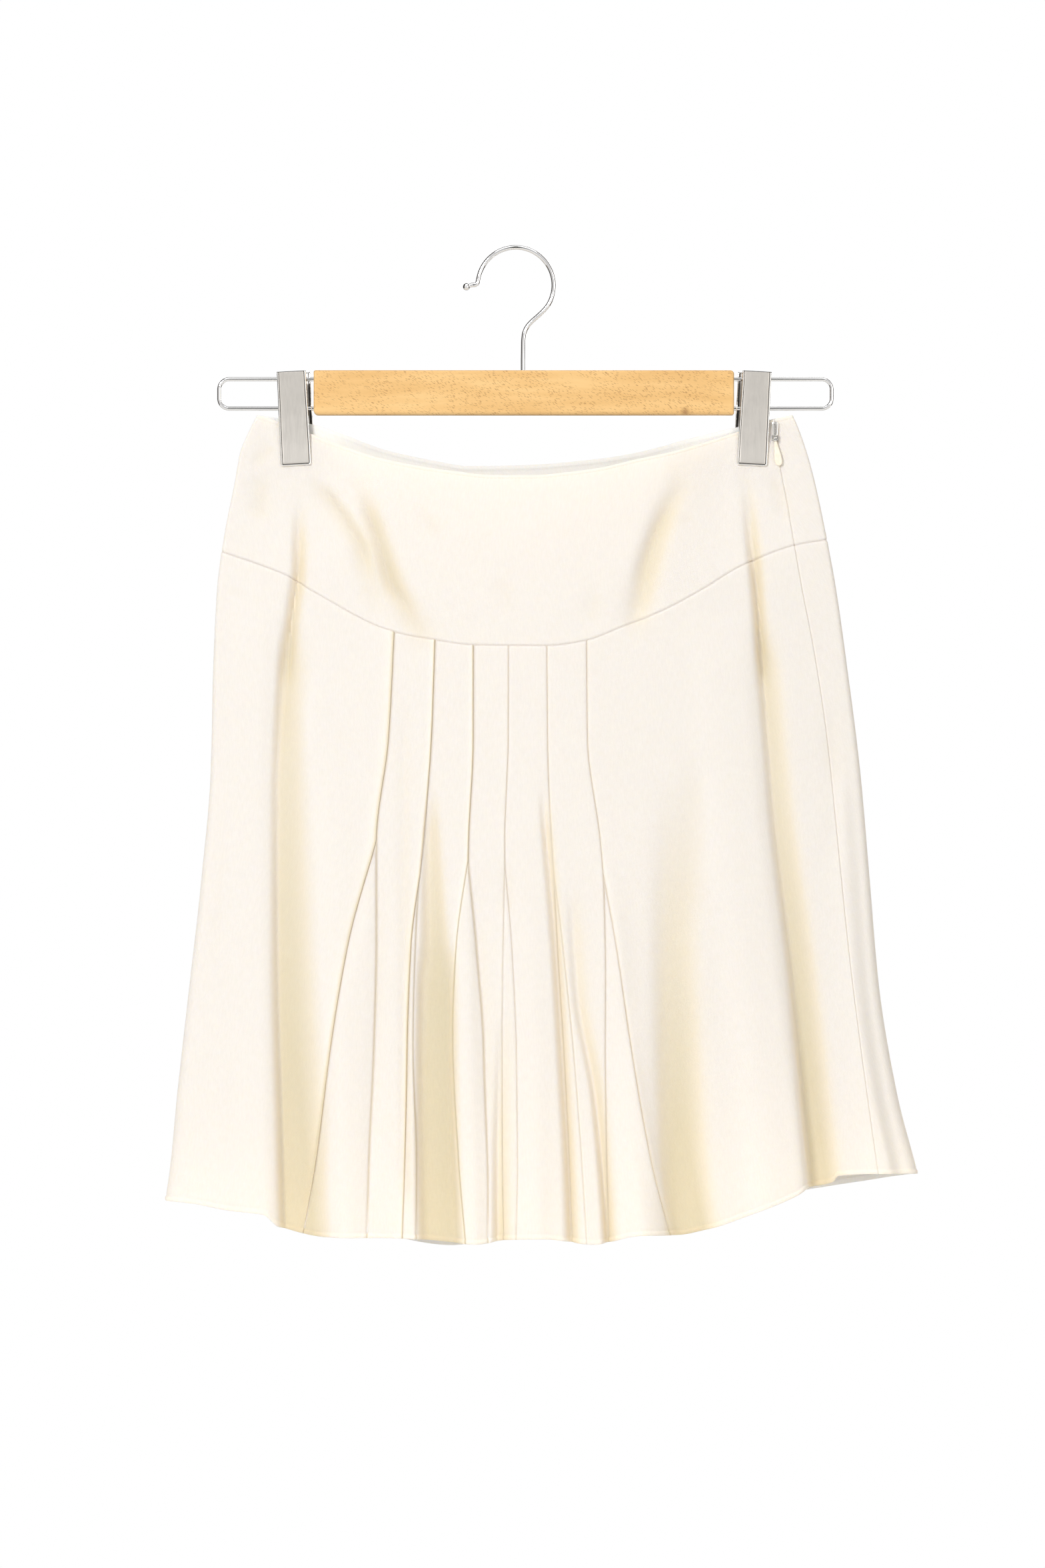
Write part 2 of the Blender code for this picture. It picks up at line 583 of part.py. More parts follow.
def build_bar():
    low = (BAR_LEFT, -BAR_DEPTH / 2, -BAR_BOTTOM)
    high = (BAR_RIGHT, BAR_DEPTH / 2, -BAR_TOP)
    bar = make_object("wood_bar", *box(low, high), BEECH, crease=30.0)
    edge = bar.modifiers.new("rounded edges", "BEVEL")
    edge.width = BAR_EDGE * MM
    edge.segments = 2
    holes, hole_faces = [], []
    loop_radius = LOOP_WIRE / 2 + FIT
    for end, way in ((BAR_LEFT, 1), (BAR_RIGHT, -1)):
        for drop in (LOOP_TOP, LOOP_BOTTOM):
            span = sorted((end - way * BORE_START, end + way * (LOOP_IN_BAR + FIT)))
            rod, rod_faces = prism_along_x((0.0, -drop), loop_radius, *span, sides=12)
            hole_faces += [tuple(len(holes) + index for index in face) for face in rod_faces]
            holes += rod
    span = (BAR_TOP - BORE_START, BAR_TOP + HOOK_IN_BAR + FIT)
    rod, rod_faces = prism_along_x((0.0, SHAFT_X), HOOK_WIRE / 2 + FIT, *span, sides=12)
    hole_faces += [tuple(len(holes) + index for index in face) for face in rod_faces]
    holes += [(z, y, -x) for x, y, z in rod]
    cut(bar, holes, hole_faces)


# Side view of a clip's jaw: drop, outer face and rear edge of its turned sides, in front of the middle
Jaw = namedtuple("Jaw", "drop face rim half_width")
JAW = (
    Jaw(82.6, 10.2, 7.4, 9.7),
    Jaw(98.5, 7.8, 5.2, 9.8),
    Jaw(103.6, 7.0, -2.6, 9.9),
    Jaw(110.2, 6.1, -2.6, 10.0),
    Jaw(112.4, 5.8, 2.6, 10.0),
    Jaw(130.0, 4.0, 2.1, 10.2),
    Jaw(146.0, 3.1, 2.0, 10.3),
)


def jaw(name, centre_x, lean, facing):
    """One pressed jaw: a plate with turned sides, bored for the lower wire.

    It faces -1 in front of the middle and +1 behind it.
    """
    points, faces = [], []
    for row in JAW:
        half, inner = row.half_width, row.half_width - CLIP_SHEET
        back = row.face - CLIP_SHEET
        outline = [
            (-half, row.rim), (-half, row.face - CLIP_EDGE), (-half + CLIP_EDGE, row.face),
            (half - CLIP_EDGE, row.face), (half, row.face - CLIP_EDGE), (half, row.rim),
            (inner, row.rim), (inner, back), (-inner, back), (-inner, row.rim),
        ]
        for x, out in outline:
            x_now = centre_x + x + lean * (row.drop - LOOP_BOTTOM)
            points.append((x_now, facing * out, -row.drop - lean * -x))
    size = 10
    for ring in range(len(JAW) - 1):
        for side in range(size):
            a = ring * size + side
            b = ring * size + (side + 1) % size
            faces.append((a, b, b + size, a + size))
    faces.append(tuple(range(size)))
    faces.append(tuple((len(JAW) - 1) * size + side for side in range(size)))
    plate = make_object(name, points, faces, SATIN_STEEL, crease=25.0)
    span = (centre_x - BORE_HALF, centre_x + BORE_HALF)
    cut(plate, *prism_along_x((0.0, -LOOP_BOTTOM), LOOP_WIRE / 2 + FIT, *span, sides=12))


def sleeve(name, start, end):
    """Outer shape of the coil spring round the lower wire."""
    sides = 16
    inner, outer = LOOP_WIRE / 2 + FIT, SPRING_OUTSIDE / 2
    points = []
    for x, radius in ((start, inner), (start, outer), (end, outer), (end, inner)):
        for turn in np.linspace(0, 2 * np.pi, sides, endpoint=False):
            points.append((x, radius * math.cos(turn), -LOOP_BOTTOM + radius * math.sin(turn)))
    faces = []
    for ring in range(4):
        here, following = ring * sides, (ring + 1) % 4 * sides
        for side in range(sides):
            after = (side + 1) % sides
            faces.append((here + side, here + after, following + after, following + side))
    make_object(name, points, faces, SPRING_STEEL)


def build_hanger():
    build_bar()
    path, radii = hook_path()
    sweep("hook", path, radii, 10, CHROME)
    loops = (("loop_left", LOOP_LEFT, BAR_LEFT), ("loop_right", LOOP_RIGHT, BAR_RIGHT))
    for name, end, bar_end in loops:
        path = loop_path(end, bar_end)
        sweep(name, path, [LOOP_WIRE / 2] * len(path), 10, CHROME)
    for name, side in (("clip_left", -1), ("clip_right", 1)):
        centre = clip_centre(side, LOOP_BOTTOM)
        lean = (clip_centre(side, CLIP_BOTTOM) - clip_centre(side, CLIP_TOP)) / (CLIP_BOTTOM - CLIP_TOP)
        inward = -side * REAR_SHIFT
        jaw(name + "_front", centre, lean, -1)
        jaw(name + "_rear", centre + inward, lean, 1)
        ends = sorted((centre + side * SPRING_OUTWARD, centre - side * SPRING_INWARD))
        sleeve(name + "_spring", *ends)


def pin_place():
    """Centre of the pin that carries the pull tab."""
    drop = SLIDER_TOP + SLIDER_TALL + EYE_OUTSIDE / 2 + FIT
    cloth = place(right_side(np.array(drop)), np.array(drop))
    return float(cloth[0]) - SLIDER_INWARD, float(cloth[1]) - FIT - EYE_OUTSIDE / 2, -drop


def join(target, name, points, faces):
    """Joins a closed shape to the target."""
    piece = make_object(name, points, faces, SATIN_STEEL)
    piece.hide_render = True
    piece.display_type = "WIRE"
    union = target.modifiers.new(name, "BOOLEAN")
    union.operation = "UNION"
    union.solver = "EXACT"
    union.object = piece


def build_slider():
    """Slider body in front of the cloth, with two lugs and the pin between them."""
    x, pin_y, pin_z = pin_place()
    back = pin_y + EYE_OUTSIDE / 2
    bottom = -SLIDER_TOP - SLIDER_TALL
    half = SLIDER_WIDE / 2
    front = back - SLIDER_THICK
    block = box((x - half, front, bottom), (x + half, back, -SLIDER_TOP))
    body = make_object("zip_slider", *block, SATIN_STEEL)
    lug_reach = PIN_THICK / 2 + LUG_WALL
    for side, name in ((-1, "slider_lug_left"), (1, "slider_lug_right")):
        start, end = sorted((side * (half - LUG_WALL), side * (half + LUG_PROUD)))
        low = (x + start, pin_y - lug_reach, pin_z - lug_reach)
        high = (x + end, pin_y + lug_reach, bottom + LUG_OVERLAP)
        join(body, name, *box(low, high))
    reach = half - LUG_WALL / 2
    join(body, "slider_pin", *prism_along_x((pin_y, pin_z), PIN_THICK / 2, x - reach, x + reach, sides=10))


def build_pull():
    """Teardrop tab below an eye round the pin; its origin is on the pin's axis."""
    x, y, z = pin_place()
    lean = math.radians(PULL_LEAN)
    sides = [(row.half_width, -row.below) for row in PULL]
    outline = sides + [(-half, below) for half, below in reversed(sides)]
    points = []
    for out in (-PULL_THICK / 2, PULL_THICK / 2):
        for u, v in outline:
            across = u * math.cos(lean) - v * math.sin(lean)
            points.append((x + across, y + out, z + u * math.sin(lean) + v * math.cos(lean)))
    count = len(outline)
    faces = [tuple(range(count)), tuple(range(2 * count - 1, count - 1, -1))]
    faces += [(s, (s + 1) % count, (s + 1) % count + count, s + count) for s in range(count)]
    tab = make_object("zip_pull", points, faces, ENAMEL, origin=(x, y, z), crease=30.0)
    half = SLIDER_WIDE / 2 - LUG_WALL - FIT
    join(tab, "pull_eye", *prism_along_x((y, z), EYE_OUTSIDE / 2, x - half, x + half, sides=16))
    cut(tab, *prism_along_x((y, z), PIN_THICK / 2 + FIT, x - 2 * half, x + 2 * half, sides=16))


def main():
    clear_scene()
    build_skirt()
    build_hanger()
    build_slider()
    build_pull()


main()
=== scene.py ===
"""Looks of a cream mini skirt hung on a wooden clip hanger.

The tables are in millimetres and the meshes in metres. X runs to the viewer's right, Y away
from the viewer and Z up. A "drop" is a distance below the rail. An "angle" goes round the
skirt: 0 is the left fold, half a turn is the right fold, the front lies between them.
"""
import math
from collections import namedtuple

import bmesh
import bpy
import numpy as np
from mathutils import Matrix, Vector


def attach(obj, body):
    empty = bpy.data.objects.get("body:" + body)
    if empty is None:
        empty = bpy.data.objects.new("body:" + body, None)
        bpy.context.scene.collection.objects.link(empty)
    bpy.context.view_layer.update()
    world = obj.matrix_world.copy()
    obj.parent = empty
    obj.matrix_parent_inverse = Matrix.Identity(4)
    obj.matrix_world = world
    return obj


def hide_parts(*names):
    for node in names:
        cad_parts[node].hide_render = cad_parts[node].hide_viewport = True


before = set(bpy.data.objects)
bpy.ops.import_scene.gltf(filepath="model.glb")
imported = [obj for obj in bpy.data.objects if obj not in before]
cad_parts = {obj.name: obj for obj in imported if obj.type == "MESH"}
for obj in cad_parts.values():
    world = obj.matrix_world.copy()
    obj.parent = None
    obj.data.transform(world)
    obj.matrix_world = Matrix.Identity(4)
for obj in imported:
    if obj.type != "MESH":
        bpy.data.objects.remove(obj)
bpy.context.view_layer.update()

MM = 0.001
WHITE, BLACK = (1.0, 1.0, 1.0), (0.0, 0.0, 0.0)

# Cloth
CLOTH_THICK = 0.6
EDGE_GAP = 0.04  # a seam's two pieces stop this short of its line
GRID_ACROSS, GRID_DOWN = 1.9, 3.4
WIDE_PIECE = 60.0  # a wider piece has its columns spaced along the cloth, not by angle
SAMPLES_ACROSS = 61
EDGE_SHARE = 0.3  # of a narrow row, the most that the fine columns of one side take
SEAM_LIE, DEEPEST_LIE = 0.7, -0.6
THICK_SHARE, LEAST_THICK = 1.3, 0.25  # thinner where front and back nearly meet
INNER_ASIDE = 0.0005  # in metres of the flat cut
FOLD_CLEAR = 12.0
# Painted shade in the cloth's colour is full at a fold this deep, and is shifted this far to the right, as
# a shadow cast by light from the left
DEEP_FOLD = 9.0
SHADE_SHIFT = 2.5
PROUD_LEFT = (1.3, 1.4, 1.3, 0.35, -0.4, -0.4)
GODET_PROUD = ((-0.9, -0.8), (-0.6, -0.4), (0.8, -0.8), (0.0, 0.0), (-0.3, 0.2), (-0.4, -0.5))
# Painted shade along the seams, more where a seam's edge stands proud, and its half width; the lit level,
# and how far painted light reaches on the inner face from an open edge; then the cloth's colours: painted
# light, lit, painted half shade and painted deep shade
PAINTED_SEAM_SHADE, PAINTED_SEAM_SHADE_PROUD, PAINTED_SEAM_SHADE_HALF = 0.12, 0.6, 0.6
LIT_TONE, PAINTED_LIGHT_REACH = 0.1, 30.0
CLOTH_PAINTED_LIGHT = (1.0, 1.0, 0.985)
CLOTH_LIT = (0.985, 0.90, 0.815)
CLOTH_PAINTED_HALF_SHADE = (0.905, 0.79, 0.635)
CLOTH_PAINTED_DEEP_SHADE = (0.745, 0.645, 0.475)

# Stitches
STITCH_PITCH, STITCH_SHARE, STITCH_RADIUS = 2.7, 0.78, 0.17
STITCH_BELOW, STITCH_OUT = 2.1, -0.2

# Hanger
BAR_LEFT, BAR_RIGHT = -136.4, 147.2
BAR_TOP, BAR_BOTTOM = 81.7, 111.8
BAR_DEPTH = 12.0
BAR_EDGE, BAR_LOWER_EDGE = 1.6, 2.3
BAR_CORNERS = (2.4, 1.4, 3.0, 1.4)  # radii at the top right, top left, bottom left and bottom right
CAP_INSET, LEAST_CORNER = 0.3, 0.04
HOOK_WIRE = 3.0
HOOK_INSIDE = 24.1
HOOK_BALL = 4.8
HOOK_BALL_X = -33.3
HOOK_NECK = ((18.0, -42.0), (14.3, -45.4), (10.7, -48.6), (7.8, -51.9), (6.0, -55.6), (5.2, -60.0))
BALL_NECK = ((0.35, 0.86), (1.4, 1.0))  # past the ball: distance, share of the wire
HOOK_STRAIGHT = 66.0
HOOK_IN_BAR = 18.0
SHAFT_X = 5.0
LOOP_WIRE = 2.7
LOOP_TOP, LOOP_BOTTOM = 87.5, 107.3
LOOP_LEFT, LOOP_RIGHT = -200.25, 213.35
LOOP_CORNER = 6.75
LOOP_IN_BAR = 12.0
FIT = 0.3
KNOT = (0.1143, -0.006, -0.1100)  # in metres, on the bar's front face

# Clips, whose places are given at their top and bottom
CLIP_TOP, CLIP_BOTTOM = 82.6, 146.0
LEFT_CLIP_X = (-151.4, -148.3)
RIGHT_CLIP_X = (162.7, 159.4)
CLIP_SHEET = 1.0
JAW_HALF, JAW_CORNER = 10.0, 1.5
PLATE_PROUD, PLATE_THICK, RIM_SHARE = 0.12, 0.5, 0.75
TOP_RIM, TOP_GROOVE = 0.75, 0.4
GROOVE_START, GROOVE_END = 1.0, 1.5
REAR_SHIFT = 2.5
SPRING_OUTSIDE, SPRING_WIRE, SPRING_TURNS = 6.0, 0.42, 8
SPRING_OUTWARD, SPRING_INWARD = 6.2, 8.6
PRESSED_HALF, PRESSED_FREED = 12.0, 7.0
PRESSED_BELOW, PRESSED_FREED_DOWN = 147.0, 6.0
HELD_HALF = 15.5
HELD_BELOW = 149.0
FREED_ACROSS, FREED_DOWN = 46.0, 75.0

# Zip
SLIDER_WIDE, SLIDER_TALL, SLIDER_THICK = 4.2, 10.0, 1.6
SLIDER_TOP = 116.3
PIN_THICK = 1.2
EYE_OUTSIDE, EYE_EDGE, EYE_CLEAR = 3.4, 0.15, 0.15
LUG_WALL = 0.8
SLIDER_ROWS = (  # distance down the slider, half width
    (0.0, 1.25), (0.25, 1.7), (0.7, 1.95), (1.6, 2.1), (4.0, 2.0), (6.0, 1.75), (8.4, 1.6),
    (9.3, 1.5), (9.75, 1.3), (10.0, 0.9),
)
SLIDER_OUTLINE = (  # share of the half width, distance behind the front plate's face
    (-1.0, 0.25), (-0.97, 0.08), (-0.86, 0.0), (0.86, 0.0), (0.97, 0.08), (1.0, 0.25), (1.0, 0.62),
    (0.9, 0.62), (0.9, 0.98), (1.0, 0.98), (1.0, 1.35), (0.86, 1.6), (-0.86, 1.6), (-1.0, 1.35),
    (-1.0, 0.98), (-0.9, 0.98), (-0.9, 0.62), (-1.0, 0.62),
)
BAIL = (  # distance behind the front plate's face, distance down
    (0.3, 0.9), (-0.55, 1.3), (-0.95, 2.6), (-1.0, 5.0), (-0.9, 7.6), (-0.5, 9.0), (0.3, 9.5),
)
BAIL_ASIDE, BAIL_RADIUS = 0.62, 0.34
LUG_ASIDE, LUG_RADIUS = 1.75, 0.55
PIN_HALF = 2.0
PULL_THICK = 1.4
PULL_LEAN = 9.0
PULL_ROUND, PULL_ROUND_LONG, LEAST_ROUND = 17.0, 1.05, 0.02
PIN = (174.968, -3.700, -(SLIDER_TOP + SLIDER_TALL + EYE_OUTSIDE / 2 + FIT))
Pull = namedtuple("Pull", "below half_width")
PULL = (
    Pull(0.9, 0.9), Pull(3.4, 1.15), Pull(7.0, 1.7), Pull(11.0, 2.3), Pull(14.0, 2.5),
    Pull(16.4, 2.2), Pull(18.0, 1.3),
)

# Stage
AMBIENT = 0.38
MIRRORED = 0.85
FLOOR_Z = -1.15
FLOOR_HALF = 2.0
CAMERA_AWAY, SENSOR = 4.5, 36.0
VIEW_TALL = 1.0584
VIEW_X, VIEW_Z = 0.0045, -0.3607
AIM = (0.0, 0.0, -0.4)
LIGHTS = (
    ("key", (-2.8, -4.75, 1.95), (1.5, 1.5), 214.0, (1.0, 0.985, 0.97)),
    ("fill", (2.8, -3.0, 0.0), (2.2, 2.6), 33.0, (1.0, 0.95, 0.88)),
    ("top", (0.0, -0.5, 2.2), (2.5, 1.8), 20.0, (1.0, 0.99, 0.97)),
    ("back", (1.2, 3.2, 0.6), (2.4, 2.0), 60.0, (1.0, 0.99, 0.97)),
)

# Sections of the skirt
Section = namedtuple("Section", "drop left right fold_radius front_depth back_depth")
SECTIONS = (
    Section(111.4, -174.6, 186.8, 1.7, 9, 8),
    Section(119.5, -178.7, 190.4, 1.7, 9.8, 8.6),
    Section(137.5, -186.3, 196.7, 1.7, 11.5, 9.6),
    Section(155.5, -189.5, 201.6, 1.8, 12.8, 10.5),
    Section(191.5, -196.7, 209.3, 2.3, 15, 12.5),
    Section(227.5, -201.6, 216, 2.9, 17, 14.6),
    Section(281.5, -204.3, 223.7, 3.6, 20, 17.5),
    Section(353.5, -206.1, 232.7, 4.4, 24, 21.5),
    Section(425.5, -212.4, 239, 5.2, 28, 25.5),
    Section(497.5, -220.5, 245.3, 6, 31.5, 28.5),
    Section(569.5, -228.6, 257.4, 6.8, 34, 31),
    Section(623.5, -234, 271.4, 7.4, 36, 33),
    Section(680, -244, 285, 8, 38, 35),
)

# Edges, as (x, drop) read across the skirt
WAIST_FRONT = (
    (-174.6, 111.4), (-161, 115.9), (-138.2, 124.4), (-119, 132),
    (-88, 142), (-38.7, 150.5), (-14.4, 152.8), (11.7, 152.8),
    (32.9, 151), (56.7, 147.8), (79.7, 142.4), (106.2, 136.6),
    (147, 124), (171.5, 115.4), (186.8, 111.6),
)
WAIST_BACK = (
    (-174.6, 111.4), (-138.6, 117.7), (-119, 124), (-88, 135),
    (-51, 142.9), (-33, 145.6), (2.7, 145.1), (54.5, 141),
    (82, 136.6), (117, 127.6), (149, 119.9), (186.8, 111.6),
)
YOKE_FRONT = (
    (-201, 203), (-153.9, 220.3), (-138.6, 229.7), (-82.4, 258),
    (-54.9, 263.5), (-29.7, 267), (21, 267.6), (47.7, 264),
    (70, 255.5), (100.4, 243.2), (130, 227), (148.5, 215.5),
    (178.7, 202.5), (188.6, 199.5), (212, 195.5),
)
YOKE_BACK = (
    (-201, 203), (-150, 209), (-110, 226), (-60, 247),
    (-20, 257), (28, 262), (70, 258), (110, 245),
    (150, 225), (185, 206), (212, 195.5),
)
HEM_FRONT = (
    (-237.2, 641.5), (-217.8, 643.3), (-195.3, 647.4), (-170, 650),
    (-158, 659), (-127.8, 665), (-82.8, 665.2), (-26.6, 669),
    (-4, 666), (18.5, 665.5), (52, 669.2), (86, 663),
    (108.5, 663.6), (131, 659), (153.5, 651.4), (176, 642.8),
    (190, 636.5), (197, 632.3), (206, 630.8), (213.5, 628.6), (216.5, 624.4), (245, 623),
    (272.5, 623.5),
)
HEM_BACK = (
    (-237.2, 641.5), (-200, 645), (-150, 655), (-100, 663),
    (-42.3, 674.4), (0, 668.5), (60, 667), (120, 658),
    (198.5, 634.6), (232, 629.8), (254.7, 626), (272.5, 623.5),
)

# Seams, read down the skirt; each front seam opens at its tip into a godet
SEAM_DROPS = (258, 330, 400, 470, 540, 610, 675)
Seam = namedtuple("Seam", "tip line left_spread right_spread")
FRONT_SEAMS = (
    Seam(399.4, (-82, -85.8, -94, -94.3, -96, -99, -100.6),
         (19, 29, 35, 45), (0.5, 0.5, 0.5, 0.5)),
    Seam(425, (-54.4, -56.9, -62.5, -69, -71, -70.5, -71),
         (1.6, 2.2, 4, 5.5), (1.6, 2.2, 4.2, 4.5)),
    Seam(413, (-28.8, -28.8, -31.9, -33, -32, -29, -26),
         (7, 10.2, 9.5, 7), (6.6, 10.4, 10, 7.5)),
    Seam(418, (-5, -5.2, -7.5, -6, -5, -4.3, -4),
         (2.5, 4.2, 4.9, 4.2), (3.2, 5.2, 5.3, 3.8)),
    Seam(425, (21, 21.5, 24, 29.5, 35.5, 40, 43),
         (1.8, 3.5, 4.5, 5), (2, 3.2, 4, 5)),
    Seam(422, (47.7, 48.3, 57, 62, 66, 72, 78),
         (2, 6, 11.5, 15.5), (5.5, 12, 18.5, 29)),
)
SPREAD_DROPS, TIP_SPREAD = (470, 540, 610, 675), 0.1
SIDE_DROPS = (112, 145, 171, 200, 231, 270, 330, 400, 470, 540, 610, 680)
RIGHT_SIDE_SEAM = (174.4, 178.2, 183, 188, 193.5, 201, 210, 217, 224, 232.5, 242, 252)
LEFT_SIDE_INSET = (13, 19, 22, 24, 24, 23, 20, 21, 22, 23.5, 25, 27)

# Folds: places evenly down the line of each, how far it stands out (minus goes in) at its top and
# bottom, its half widths (left, right, then the same at its bottom where they change) and how
# squarely its sides drop (2 is rounded)
Fold = namedtuple("Fold", "name top bottom places rise wide power", defaults=(2,))
FRONT_FOLDS = (
    Fold("left valley", 265, 700, (-156, -160, -159.5, -156.5, -153.5), (-4.2, -12), (3.6, 12, 4.6, 27), 3),
    Fold("left flap", 250, 700, (-175, -178, -177, -175, -172), (1.5, 4.5), (20, 10), 4),
    Fold("first godet", 300, 700, (-141, -124, -119, -117, -115), (1, 6), (10, 15)),
    Fold("second valley", 320, 640, (-76, -76, -75, -74, -74), (-0.8, -2.6), (4, 3)),
    Fold("recess", 482, 700, (-54, -54, -53.5, -52, -50), (-8.5, -12.5), (11.5, 12, 14, 14), 6),
    Fold("recess top", 375, 482, (-57.5, -57, -55), (-3.5, -8.5), (3.5, 4, 8, 9.5), 3),
    Fold("third godet", 420, 700, (-32, -32, -31, -28, -27), (1, 3.5), (7, 6)),
    Fold("middle trough", 520, 700, (-9, -11, -12, -12, -13), (-1, -8.5), (3, 6)),
    Fold("fifth panel", 420, 700, (8, 12, 14, 15, 16), (0.5, 3), (9, 8)),
    Fold("fifth valley", 378, 700, (18.5, 25.5, 30.5, 35, 38), (-4.5, -7.5), (2.2, 3, 3, 3.6)),
    Fold("sixth valley", 440, 700, (37, 41.5, 53, 59, 63), (-2, -9), (2.6, 6, 2.4, 4)),
    Fold("sixth godet", 430, 700, (66, 71, 77, 83, 88), (1, 6), (9, 11)),
    Fold("broad valley", 355, 700, (107, 104, 105.5, 108, 119), (0, -13), (11, 14, 13, 18), 3),
    Fold("right ridge", 260, 700, (145.5, 155, 168, 181, 192), (1.5, 6), (26, 11), 4),
    Fold("right valley", 265, 700, (166, 173.5, 186, 196, 206), (-4.2, -11.5), (3.4, 9, 3.8, 16.5), 3),
    Fold("right edge", 360, 700, (221, 228, 236, 249, 263), (1.5, 7), (14, 9)),
    Fold("long left crease", 178, 285, (-147, -147, -151, -154.5), (-5.4, -5.8), (2.8, 3.6)),
    Fold("long right crease", 165, 285, (156.5, 159.5, 163, 165), (-6, -6.2), (2.6, 3.4)),
    Fold("crease from left clip", 150, 240, (-146, -121, -106, -100, -96), (-1.5, -2), (8, 8)),
    Fold("hip crease", 160, 262, (-111, -97, -88, -78, -66), (-3.2, -4.2), (8, 9)),
    Fold("right hip crease", 160, 250, (111, 100, 93, 87, 81), (-4, -5), (8, 7)),
)
BACK_FOLDS = (
    Fold("back crease from left clip", 150, 250, (-146, -128, -115, -104, -96), (-1.5, -2.5), (9, 9)),
    Fold("back crease from right clip", 150, 255, (158, 140, 124, 112, 104), (-1.5, -2.5), (9, 9)),
    Fold("back left valley", 220, 700, (-148, -152, -158, -160, -164), (-2, -13), (17, 20)),
    Fold("back left ridge", 300, 700, (-108, -110, -112, -116, -120), (1, 8), (17, 18)),
    Fold("back second valley", 270, 700, (-66, -68, -68, -72, -78), (-1.5, -11), (18, 16)),
    Fold("back middle ridge", 330, 700, (-22, -20, -22, -26, -30), (1, 9), (18, 17)),
    Fold("back third valley", 280, 700, (24, 26, 24, 20, 18), (-1.5, -12), (17, 18)),
    Fold("back fourth valley", 250, 700, (96, 98, 96, 100, 106), (-2, -12), (18, 17)),
    Fold("back right ridge", 320, 700, (138, 142, 146, 150, 158), (1, 8), (17, 18)),
    Fold("back right valley", 230, 700, (176, 182, 190, 198, 210), (-2, -13), (17, 17)),
)
FOLD_FADE = 40.0

# Side view of a clip's jaw: drop, outer face and rear edge of its turned sides, in front of the middle
Jaw = namedtuple("Jaw", "drop face rim half_width")
JAW = (
    Jaw(82.6, 10.2, 7.4, 9.7),
    Jaw(98.5, 7.8, 5.2, 9.8),
    Jaw(103.6, 7, -2.6, 9.9),
    Jaw(110.2, 6.1, -2.6, 10),
    Jaw(112.4, 5.8, 2.6, 10),
    Jaw(130, 4, 2.1, 10.2),
    Jaw(146, 3.1, 2, 10.3),
)

# Distances in from a jaw's edge and how far the face lies back there: a rolled rim, polished and painted
# brighter as a highlight, then a groove painted dark as shade
RIM = ((0, 1.1), (0.08, 0.62), (0.25, 0.28), (0.5, 0.06), (0.75, 0), (1, 0.05), (1.15, 0.22),
       (1.35, 0.42), (1.55, 0.34), (1.8, 0.16), (2.3, 0.12))

# Fine creases: a path of (x, drop), rise (minus goes in), half widths on its left and right
Crease = namedtuple("Crease", "path rise left right")
FRONT_CREASES = (
    Crease(((142, 130), (152, 150), (157, 172), (158, 191), (161.5, 214), (163.2, 240),
            (164.5, 270), (167, 310), (172, 360)), -2.2, 3.2, 4.2),
    Crease(((-147, 160), (-146, 190), (-147, 219), (-152, 245), (-154.5, 268),
            (-157, 305), (-161, 360)), -2, 3.6, 4.4),
    Crease(((-144, 152.8), (-127.4, 165.4), (-116.6, 180.2), (-104, 200.5), (-98.1, 229.7)), -3.2, 7, 4),
    Crease(((-139, 150.5), (-121, 162.5), (-109, 177), (-97, 199), (-91, 226)), 1.4, 5, 6),
    Crease(((-108.5, 165.4), (-98.1, 183.8), (-89.1, 211.3), (-83.7, 227.9), (-68.9, 246.4)), -3.6, 4.5, 6),
    Crease(((-101.5, 167), (-91.5, 185), (-82, 211), (-76, 228), (-62, 245)), 1.3, 4.5, 7),
    Crease(((-67, 174.8), (-58, 187), (-50.4, 198.7)), -0.9, 5, 5),
    Crease(((-14, 220.7), (-9, 234), (-5, 248.2)), -0.8, 5, 5),
    Crease(((-162.5, 130.7), (-172, 139), (-180.9, 147.4)), -1.5, 4, 4),
    Crease(((-172.5, 150), (-173.5, 166), (-174, 186)), -1.8, 6, 5),
    Crease(((106.2, 172.6), (94.1, 192.8), (87, 212), (81.5, 233.8)), -2, 6, 4.5),
    Crease(((99.5, 171), (87.5, 192), (80, 212), (74.5, 232)), 0.8, 7, 4.5),
    Crease(((55.4, 229.7), (51, 242), (46.8, 254)), -0.9, 5, 5),
    Crease(((107.1, 185.2), (113, 182.5), (119.3, 180.7)), -0.8, 2.5, 2.5),
    Crease(((171, 150), (177.4, 166), (182, 186)), -1.3, 4, 4),
    Crease(((-31, 418), (-26.5, 462), (-23.5, 510), (-21, 560), (-17, 620)), -1.4, 4, 4.5),
    Crease(((-7, 412), (-7.2, 430), (-6, 452)), -1, 3.5, 3.5),
    Crease(((-94, 395), (-98.5, 420), (-108, 455), (-120, 505), (-125, 560), (-131, 610), (-143, 668)),
           -1.3, 5, 4.5),
    Crease(((-94, 400), (-94.5, 460), (-96, 520), (-98.5, 590), (-100.5, 668)), -1.2, 4, 5),
    Crease(((75, 520), (78.5, 545), (83, 580), (90, 610), (97, 637), (105, 664)), 1.6, 5, 4),
    Crease(((57, 396), (64, 430), (70, 470), (75, 520)), 1, 5, 6),
    Crease(((118, 330), (119, 400), (116, 470)), -0.9, 8, 9),
    Crease(((212, 300), (214, 360), (218, 430)), -0.9, 6, 5),
    Crease(((-196, 300), (-197, 360), (-203, 430), (-208, 500)), -0.9, 5, 6),
)
